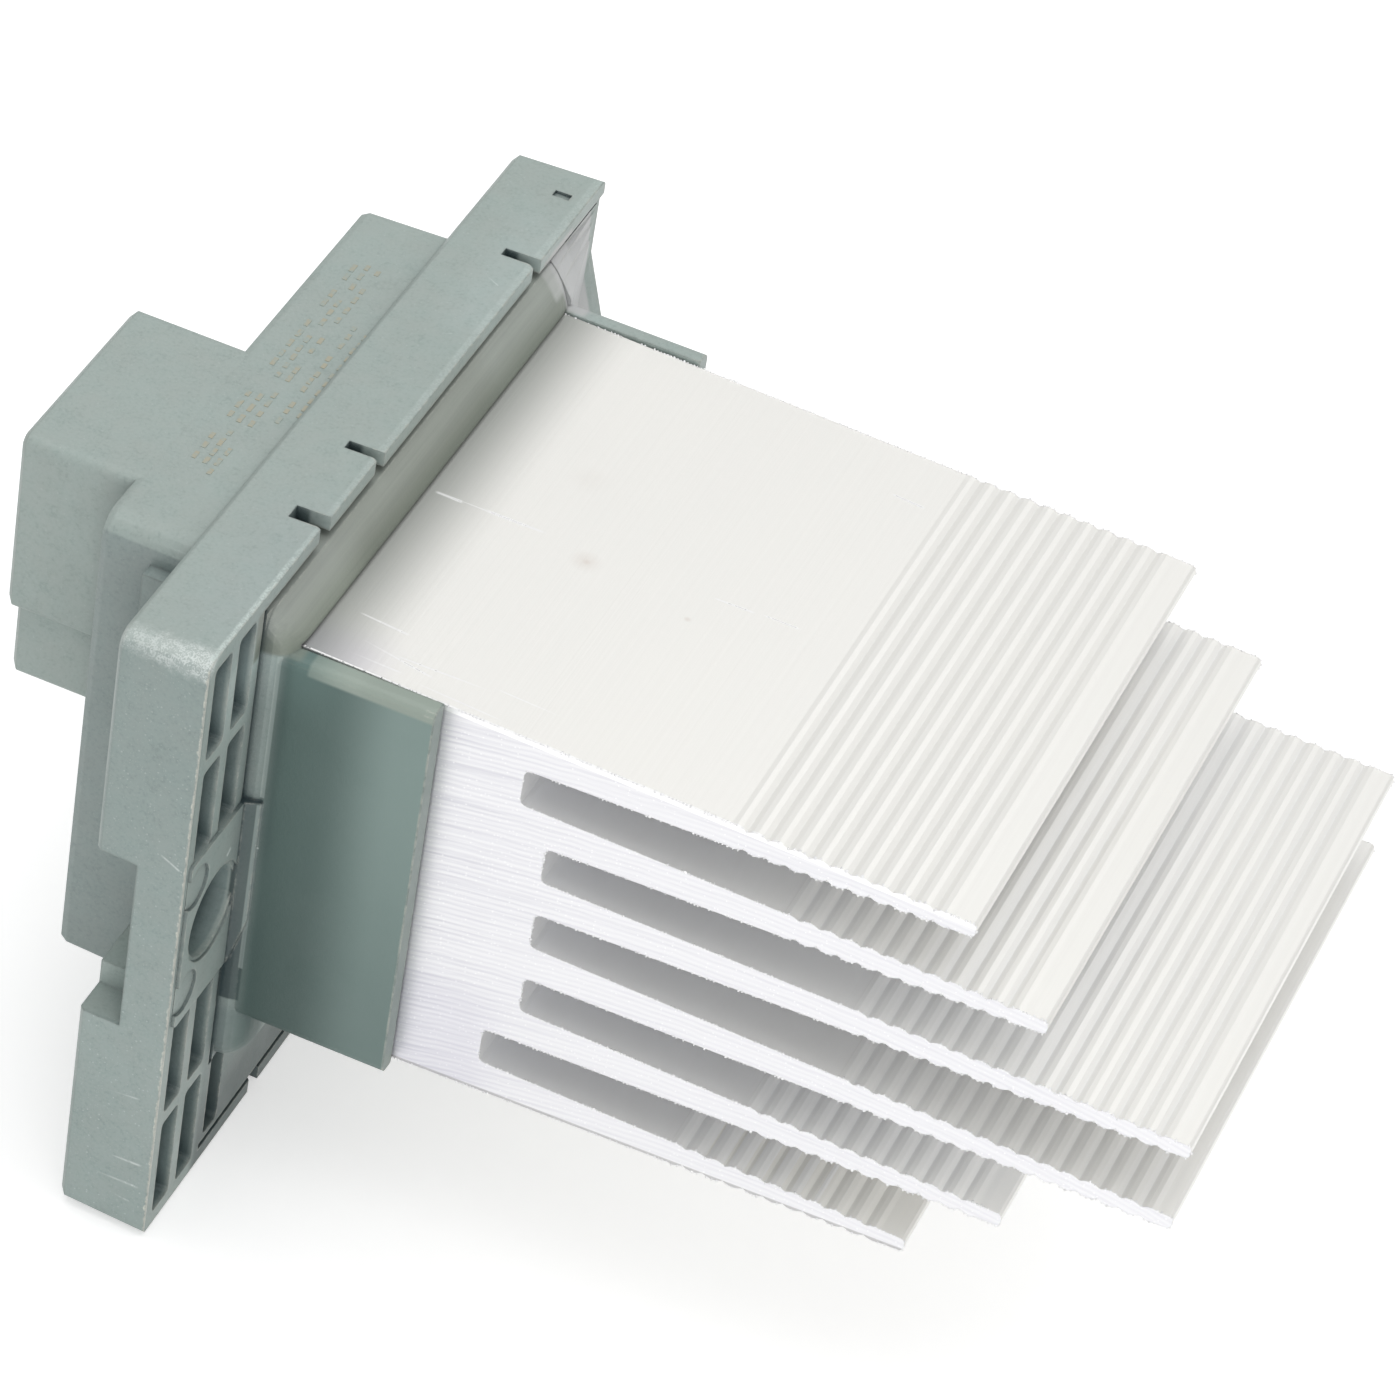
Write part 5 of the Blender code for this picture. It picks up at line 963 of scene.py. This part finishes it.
FINISHES: dict[Slot, Finish] = {
    Slot.HOUSING: MouldedPlastic(),
    Slot.ALUMINIUM: ExtrudedAluminium(),
    Slot.BOARD: BoardFinish(),
    Slot.EPOXY: PlainFinish("moulded_epoxy", (0.02, 0.02, 0.022), (0.035, 0.034, 0.034),
                            (0.09, 0.09, 0.09), 0.55, grain=0.09, depth=0.02),
    Slot.TINNED: PlainFinish("tinned_copper", (0.72, 0.71, 0.68), (0.6, 0.58, 0.54),
                             (0.86, 0.6, 0.42), 0.28, 1.0, wear=0.25),
    Slot.SPRING: PlainFinish("spring_steel", (0.3, 0.31, 0.34), (0.22, 0.22, 0.26),
                             (0.7, 0.7, 0.7), 0.32, 1.0),
    Slot.ZINC: PlainFinish("zinc_plate", (0.66, 0.67, 0.69), (0.6, 0.58, 0.52),
                           (0.8, 0.8, 0.8), 0.32, 1.0),
    Slot.BRASS: PlainFinish("turned_brass", (0.72, 0.54, 0.24), (0.58, 0.42, 0.18),
                            (0.9, 0.76, 0.45), 0.27, 1.0),
    Slot.SILICONE: PlainFinish("soft_silicone", (0.05, 0.05, 0.055), (0.07, 0.07, 0.072),
                               (0.14, 0.14, 0.14), 0.7, depth=0.03),
    Slot.PAD: PlainFinish("filled_pad", (0.5, 0.52, 0.55), (0.42, 0.43, 0.46),
                          (0.66, 0.66, 0.68), 0.75, depth=0.03),
    Slot.CERAMIC: PlainFinish("fired_ceramic", (0.36, 0.28, 0.18), (0.3, 0.24, 0.17),
                              (0.6, 0.55, 0.46), 0.42, grain=0.1),
    Slot.GLASS: PlainFinish("sealed_bead", (0.42, 0.12, 0.05), (0.5, 0.2, 0.09),
                            (0.6, 0.3, 0.2), 0.16, wear=0.2, coat=0.8),
    Slot.SLEEVE: PlainFinish("shrunk_sleeve", (0.03, 0.045, 0.11), (0.045, 0.06, 0.13),
                             (0.2, 0.22, 0.3), 0.3, wear=0.3, coat=0.3),
}


class Pattern:
    """A geometry node tree that repeats a small solid, with the tools to bake it."""

    def __init__(self, name: str, inputs: dict) -> None:
        """Open the tree.

        Args:
            name: The tree's name.
            inputs: Each size by name, in metres.
        """
        shared = {"Geometry": "Geometry", "Finish": "Material", "Seed": 1}
        self.bench, self.given, self.out = open_group(name, {**shared, **inputs}, ["Geometry"],
                                                      "GeometryNodeTree")

    def spread(self, points: Socket, solid: Socket, turn: Value, size: Value) -> None:
        """Put a solid on every point, realise the copies and set their material.

        Args:
            points: The points.
            solid: The solid to repeat.
            turn: Its rotation.
            size: Its scale.
        """
        bench = self.bench
        copies = bench.node("GeometryNodeInstanceOnPoints", {"Points": points, "Instance": solid,
                                                             "Rotation": turn, "Scale": size})
        real = bench.node("GeometryNodeRealizeInstances", {0: copies.outputs[0]})
        painted = bench.node("GeometryNodeSetMaterial", {"Geometry": real.outputs[0],
                                                         "Material": self.given["Finish"]})
        bench.feed(self.out["Geometry"], painted.outputs[0])

    def random(self, low: Value, high: Value, kind: str = "FLOAT", offset: int = 0) -> Socket:
        """Return a random number or vector for each point, from the tree's seed."""
        seed = self.bench.sum(self.given["Seed"], float(offset))
        made = self.bench.node("FunctionNodeRandomValue", data_type=kind)
        first, last, result = (0, 1, 0) if kind == "FLOAT_VECTOR" else (2, 3, 1)
        self.bench.feed(made.inputs[first], low)
        self.bench.feed(made.inputs[last], high)
        self.bench.feed(made.inputs["Seed"], seed)
        return made.outputs[result]

    def bake(self, piece: bpy.types.Object, values: dict[str, object]) -> bpy.types.Object:
        """Run the tree on a piece once and keep the result as its mesh.

        Args:
            piece: The object that carries the starting points.
            values: Inputs by name.

        Returns:
            The piece.
        """
        step = piece.modifiers.new("pattern", "NODES")
        step.node_group = self.bench.tree
        for item in self.bench.tree.interface.items_tree:
            if item.item_type == "SOCKET" and item.in_out == "INPUT" and item.name in values:
                step[item.identifier] = values[item.name]
        graph = bpy.context.evaluated_depsgraph_get()
        mesh = bpy.data.meshes.new_from_object(piece.evaluated_get(graph))
        mesh.name = piece.name
        piece.modifiers.remove(step)
        piece.data = mesh
        return piece


def dash_pattern() -> Pattern:
    """Build the tree that lays short dashes on points."""
    sizes = {"Dash Length": 1.2 * MM, "Dash Width": 0.4 * MM, "Dash Thickness": 0.03 * MM}
    pattern = Pattern("ink_dash_rows", sizes)
    bench = pattern.bench
    size = bench.joined(pattern.given["Dash Width"], pattern.given["Dash Length"],
                        pattern.given["Dash Thickness"])
    solid = bench.node("GeometryNodeMeshCube", {"Size": size})
    for number in range(3):
        solid.inputs[1 + number].default_value = 2
    stretch = pattern.random((0.9, 0.7, 1.0), (1.0, 1.12, 1.0), "FLOAT_VECTOR")
    points = bench.node("GeometryNodeMeshToPoints", {"Mesh": pattern.given["Geometry"]})
    pattern.spread(points.outputs[0], solid.outputs[0], (0.0, 0.0, 0.0), stretch)
    return pattern


def burr_pattern() -> Pattern:
    """Build the tree that strews tiny burrs along edges."""
    pattern = Pattern("sawn_edge_burrs", {"Burr Size": 0.1 * MM, "Spacing": 0.35 * MM})
    bench = pattern.bench
    curve = bench.node("GeometryNodeMeshToCurve", {"Mesh": pattern.given["Geometry"]})
    spacing = {"Curve": curve.outputs[0], "Length": pattern.given["Spacing"]}
    points = bench.node("GeometryNodeCurveToPoints", spacing, mode="LENGTH")
    chip = bench.node("GeometryNodeMeshIcoSphere", {"Radius": pattern.given["Burr Size"], "Subdivisions": 1})
    dropped = bench.math("GREATER_THAN", pattern.random(0.0, 1.0, offset=7), BURRS_KEPT)
    kept = bench.node("GeometryNodeDeleteGeometry", {"Geometry": points.outputs[0], "Selection": dropped})
    turn = pattern.random((0.0, 0.0, 0.0), (6.28, 6.28, 6.28), "FLOAT_VECTOR", 3)
    size = pattern.random((0.5, 0.35, 0.5), (1.5, 0.8, 1.2), "FLOAT_VECTOR", 5)
    pattern.spread(kept.outputs[0], chip.outputs[0], turn, size)
    return pattern


def solder_pattern() -> Pattern:
    """Build the tree that sets a solder fillet round each wire."""
    sizes = {"Foot Radius": 0.9 * MM, "Neck Radius": 0.45 * MM, "Height": 0.55 * MM}
    pattern = Pattern("solder_fillets", sizes)
    bench = pattern.bench
    cone = bench.node("GeometryNodeMeshCone", {
        "Vertices": 14, "Side Segments": 3, "Radius Top": pattern.given["Neck Radius"],
        "Radius Bottom": pattern.given["Foot Radius"], "Depth": pattern.given["Height"]})
    points = bench.node("GeometryNodeMeshToPoints", {"Mesh": pattern.given["Geometry"]})
    size = pattern.random((0.92, 0.92, 0.85), (1.06, 1.06, 1.1), "FLOAT_VECTOR")
    pattern.spread(points.outputs[0], cone.outputs[0], (0.0, -math.pi / 2, 0.0), size)
    return pattern


def carrier(name: str, points: Sequence[Vector], edges: Sequence[tuple[int, int]] = ()) -> bpy.types.Object:
    """Add an object that carries points or edges for a pattern.

    Args:
        name: The piece's name.
        points: Places in metres.
        edges: Pairs of point numbers.

    Returns:
        The new object.
    """
    mesh = bpy.data.meshes.new(name)
    mesh.from_pydata([tuple(point) for point in points], list(edges), [])
    result = bpy.data.objects.new(name, mesh)
    bpy.context.scene.collection.objects.link(result)
    return result


def settle(piece: bpy.types.Object) -> None:
    """Fix a finished piece to the part."""
    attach(piece, "root")
    LOG.info("piece %s: %d faces", piece.name, len(piece.data.polygons))


class Wardrobe:
    """The materials, each made once."""

    def __init__(self) -> None:
        """Build the shared effects and every slot's material."""
        self.effects = Effects()
        self.by_slot = {slot: finish.build(self.effects) for slot, finish in FINISHES.items()}
        self.ink = InkFinish().build(self.effects)
        self.burr = PlainFinish("torn_burr", WHITE, (0.9, 0.9, 0.92), WHITE, 0.3, 0.25).build(self.effects)

    def dress(self, node: bpy.types.Object, slot: Slot) -> None:
        """Give a CAD node its finished material."""
        node.data.materials.clear()
        node.data.materials.append(self.by_slot[slot])
        LOG.info("node %s: %s", node.name, slot.value)


@dataclass
class HousingTrim:
    """What the moulding carries: the rows of ink dashes on its body.

    The rows, the height that they are cast down from and the jitter are in millimetres.
    """

    node: str = "housing"
    above: float = 32.0
    thick: float = 0.06 * MM
    raised: float = 0.02 * MM
    stroke: float = 0.4 * MM
    kept: float = 0.8
    jitter: float = 0.06
    steps: tuple[float, float] = (1.25, 1.75)
    place_seed: int = 5
    size_seed: int = 4
    rows: tuple = (
        (-8.6, (-0.62, 0.62), 0.8, ((-6.3, 8.2),)),
        (-11.85, (-0.98, 0.0, 0.98), 0.95, ((-15.2, -9.3), (-7.6, -2.6), (-0.9, 16.2))),
    )

    def _places(self, x: float, lines: Sequence[float], long: float, groups: Sequence[tuple],
                seed: int) -> list[Vector]:
        """Return where one row's dashes lie on the moulding, with a few left out.

        Args:
            x: The row's middle, in millimetres like every measure here.
            lines: Each line's distance from it.
            long: A dash's length.
            groups: Where each group starts and ends along Y.
            seed: The seed of what is left to chance.

        Returns:
            Places in metres.
        """
        chance = random.Random(seed)
        mesh = frame["nodes"][self.node].data
        solid = BVHTree.FromPolygons([vertex.co for vertex in mesh.vertices],
                                     [face.vertices for face in mesh.polygons])
        points: list[Vector] = []
        for line in lines:
            for near, far in groups:
                y = near + chance.uniform(0.0, 0.5) * long
                while y < far:
                    if chance.random() < self.kept:
                        shift = chance.uniform(-self.jitter, self.jitter)
                        start = Vector(metres(x + line + shift, y, self.above))
                        ground = solid.ray_cast(start, Vector((0.0, 0.0, -1.0)))[0]
                        points.append(ground + Vector((0.0, 0.0, self.raised)))
                    y += long * chance.uniform(*self.steps)
        return points

    def build(self, wardrobe: Wardrobe) -> None:
        """Lay the dashes.

        Args:
            wardrobe: The materials.
        """
        pattern = dash_pattern()
        for number, (x, lines, long, groups) in enumerate(self.rows):
            points = self._places(x, lines, long, groups, self.place_seed + number)
            dashes = carrier(f"ink_dashes_row_{number + 1}", points)
            values = {"Finish": wardrobe.ink, "Dash Length": long * MM, "Dash Width": self.stroke,
                      "Dash Thickness": self.thick, "Seed": self.size_seed + number}
            settle(pattern.bake(dashes, values))


@dataclass
class SawnEdges:
    """The burrs that the saw left along the extrusion's ends."""

    node: str = "heat_sink"
    spacing: float = 0.3 * MM
    burr: float = 0.14 * MM
    inset: float = 0.03 * MM
    weld: float = 0.002 * MM
    end_depth: float = 0.01 * MM
    sharp: float = math.radians(35.0)
    seed: int = 11

    def _edges(self) -> tuple[list[Vector], list[tuple[int, int]]]:
        """Return the sharp edges of both sawn ends."""
        low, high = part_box(self.node)
        work = bmesh.new()
        work.from_mesh(frame["nodes"][self.node].data)
        bmesh.ops.remove_doubles(work, verts=work.verts, dist=self.weld)
        points: list[Vector] = []
        edges: list[tuple[int, int]] = []
        for edge in work.edges:
            ys = [vertex.co.y for vertex in edge.verts]
            at_end = max(ys) < low.y + self.end_depth or min(ys) > high.y - self.end_depth
            if at_end and len(edge.link_faces) == 2 and edge.calc_face_angle() > self.sharp:
                sign = 1.0 if ys[0] < 0 else -1.0
                start = len(points)
                points.extend(vertex.co + Vector((0.0, sign * self.inset, 0.0)) for vertex in edge.verts)
                edges.append((start, start + 1))
        work.free()
        return points, edges

    def build(self, wardrobe: Wardrobe) -> None:
        """Strew the burrs.

        Args:
            wardrobe: The materials.
        """
        points, edges = self._edges()
        burrs = carrier("sawn_edge_burrs", points, edges)
        values = {"Finish": wardrobe.burr, "Burr Size": self.burr, "Spacing": self.spacing,
                  "Seed": self.seed}
        settle(burr_pattern().bake(burrs, values))


@dataclass
class SolderWork:
    """The solder round every leg and wire on the board's back."""

    board: str = "circuit_board"
    wires: tuple = ("thermal_fuse_wire", "diode_wire", "capacitor_lead_short", "capacitor_lead_long")
    foot: float = 0.78 * MM
    neck: float = 0.42 * MM
    height: float = 0.5 * MM
    sunk: float = 0.02 * MM
    past: float = 0.3 * MM
    cell: float = 1.7 * MM
    apart: float = 1.2 * MM
    seed: int = 2

    def _places(self) -> list[Vector]:
        """Return where wires and legs leave the board's back."""
        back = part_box(self.board)[0].x
        places: list[Vector] = []
        for name in (*self.wires, "transistor_near_frame", "transistor_far_frame"):
            tips: dict[tuple[int, int], list[Vector]] = {}
            for vertex in frame["nodes"][name].data.vertices:
                if vertex.co.x < back - self.past:
                    key = (round(vertex.co.y / self.cell), round(vertex.co.z / self.cell))
                    tips.setdefault(key, []).append(vertex.co.copy())
            for group in tips.values():
                middle = sum(group, Vector()) / len(group)
                place = Vector((back, middle.y, middle.z))
                if all((place - other).length > self.apart for other in places):
                    places.append(place)
        return places

    def build(self, wardrobe: Wardrobe) -> None:
        """Set the fillets.

        Args:
            wardrobe: The materials.
        """
        points = [place - Vector((self.sunk, 0.0, 0.0)) for place in self._places()]
        fillets = carrier("solder_fillets", points)
        values = {"Finish": wardrobe.by_slot[Slot.TINNED], "Foot Radius": self.foot,
                  "Neck Radius": self.neck, "Height": self.height, "Seed": self.seed}
        settle(solder_pattern().bake(fillets, values))


@dataclass
class Studio:
    """The camera, the pale floor and the soft lights."""

    eye: Triple = (137.79, -377.03, 344.43)
    look: Triple = (-0.21462, 0.73336, -0.64507)
    roll: float = math.radians(10.47)
    lens: float = 164.36
    floor_drop: float = 0.4
    floor_reach: float = 4.0
    floor_colour: Colour = (0.8, 0.8, 0.8)
    floor_glow: float = 0.45
    room_light: float = 0.52
    sensor: float = 36.0
    clip: tuple[float, float] = (0.01, 20.0)
    lights: tuple = (
        ("top_softbox", (0.1, 0.1, 0.9), (0.0, 0.0, 0.0), 1.1, 5.0),
        ("near_softbox", (0.4, -0.95, 0.3), (0.0, 0.0, 0.0), 0.9, 4.2),
    )

    def camera(self) -> None:
        """Set the camera where the photograph was taken from."""
        look = Vector(self.look).normalized()
        level = look.cross(Vector((0.0, 0.0, 1.0))).normalized()
        upright = level.cross(look).normalized()
        up = upright * math.cos(self.roll) - level * math.sin(self.roll)
        right = look.cross(up).normalized()
        place = Matrix.Translation(Vector(metres(*self.eye)))
        turn = Matrix((right, up, -look)).transposed().to_4x4()
        data = bpy.data.cameras.new("photo_camera")
        data.lens = self.lens
        data.sensor_width = self.sensor
        data.clip_start, data.clip_end = self.clip
        camera = bpy.data.objects.new("photo_camera", data)
        bpy.context.scene.collection.objects.link(camera)
        camera.matrix_world = place @ turn
        bpy.context.scene.camera = camera

    def _floor_material(self) -> bpy.types.Material:
        """Return the floor's material: pale, and brighter to the camera and in reflections."""
        material = bpy.data.materials.new("pale_floor")
        material.use_nodes = True
        bench = Bench(material.node_tree)
        shader = material.node_tree.nodes["Principled BSDF"]
        rays = bench.node("ShaderNodeLightPath")
        seen = bench.greater(rays.outputs["Is Camera Ray"], rays.outputs["Is Glossy Ray"])
        seen = bench.greater(seen, rays.outputs["Is Transmission Ray"])
        values = {"Base Color": self.floor_colour, "Roughness": 1.0, "Specular IOR Level": 0.0,
                  "Emission Color": WHITE, "Emission Strength": bench.product(seen, self.floor_glow)}
        for name, value in values.items():
            bench.feed(shader.inputs[name], value)
        return material

    def floor(self) -> None:
        """Lay the floor under the part."""
        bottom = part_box("housing")[0].z - self.floor_drop * MM
        reach = self.floor_reach
        outline = [(-reach, -reach, bottom), (reach, -reach, bottom), (reach, reach, bottom),
                   (-reach, reach, bottom)]
        mesh = bpy.data.meshes.new("floor")
        mesh.from_pydata(outline, [], [(0, 1, 2, 3)])
        mesh.materials.append(self._floor_material())
        floor = bpy.data.objects.new("floor", mesh)
        bpy.context.scene.collection.objects.link(floor)

    def world(self) -> None:
        """Fill the room with even pale light."""
        world = bpy.data.worlds.new("room")
        world.use_nodes = True
        background = world.node_tree.nodes["Background"]
        bench = Bench(world.node_tree)
        rays = bench.node("ShaderNodeLightPath")
        bench.feed(background.inputs["Color"], WHITE)
        strength = bench.ramp(rays.outputs["Is Camera Ray"], 0.0, 1.0, self.room_light, 1.0, Step.LINEAR)
        bench.feed(background.inputs["Strength"], strength)
        bpy.context.scene.world = world

    def lamps(self) -> None:
        """Hang the softboxes."""
        for name, place, aim, size, power in self.lights:
            data = bpy.data.lights.new(name, "AREA")
            data.shape = "SQUARE"
            data.size = size
            data.energy = power
            lamp = bpy.data.objects.new(name, data)
            lamp.location = place
            lamp.rotation_mode = "QUATERNION"
            lamp.rotation_quaternion = (Vector(aim) - Vector(place)).to_track_quat("-Z", "Y")
            bpy.context.scene.collection.objects.link(lamp)

    def build(self) -> None:
        """Set up the whole studio."""
        self.camera()
        self.floor()
        self.world()
        self.lamps()
        bpy.context.scene.view_settings.view_transform = "Standard"


def main() -> None:
    """Dress every node, add the small pieces and set up the studio."""
    logging.basicConfig(level=logging.INFO)
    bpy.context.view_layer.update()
    wardrobe = Wardrobe()
    for entry in frame["record"]["subparts"]:
        wardrobe.dress(frame["nodes"][entry["node"]], Slot(entry["material_slot"]))
    for trim in (HousingTrim(), SawnEdges(), SolderWork()):
        trim.build(wardrobe)
    Studio().build()


if __name__ == "__main__":
    main()
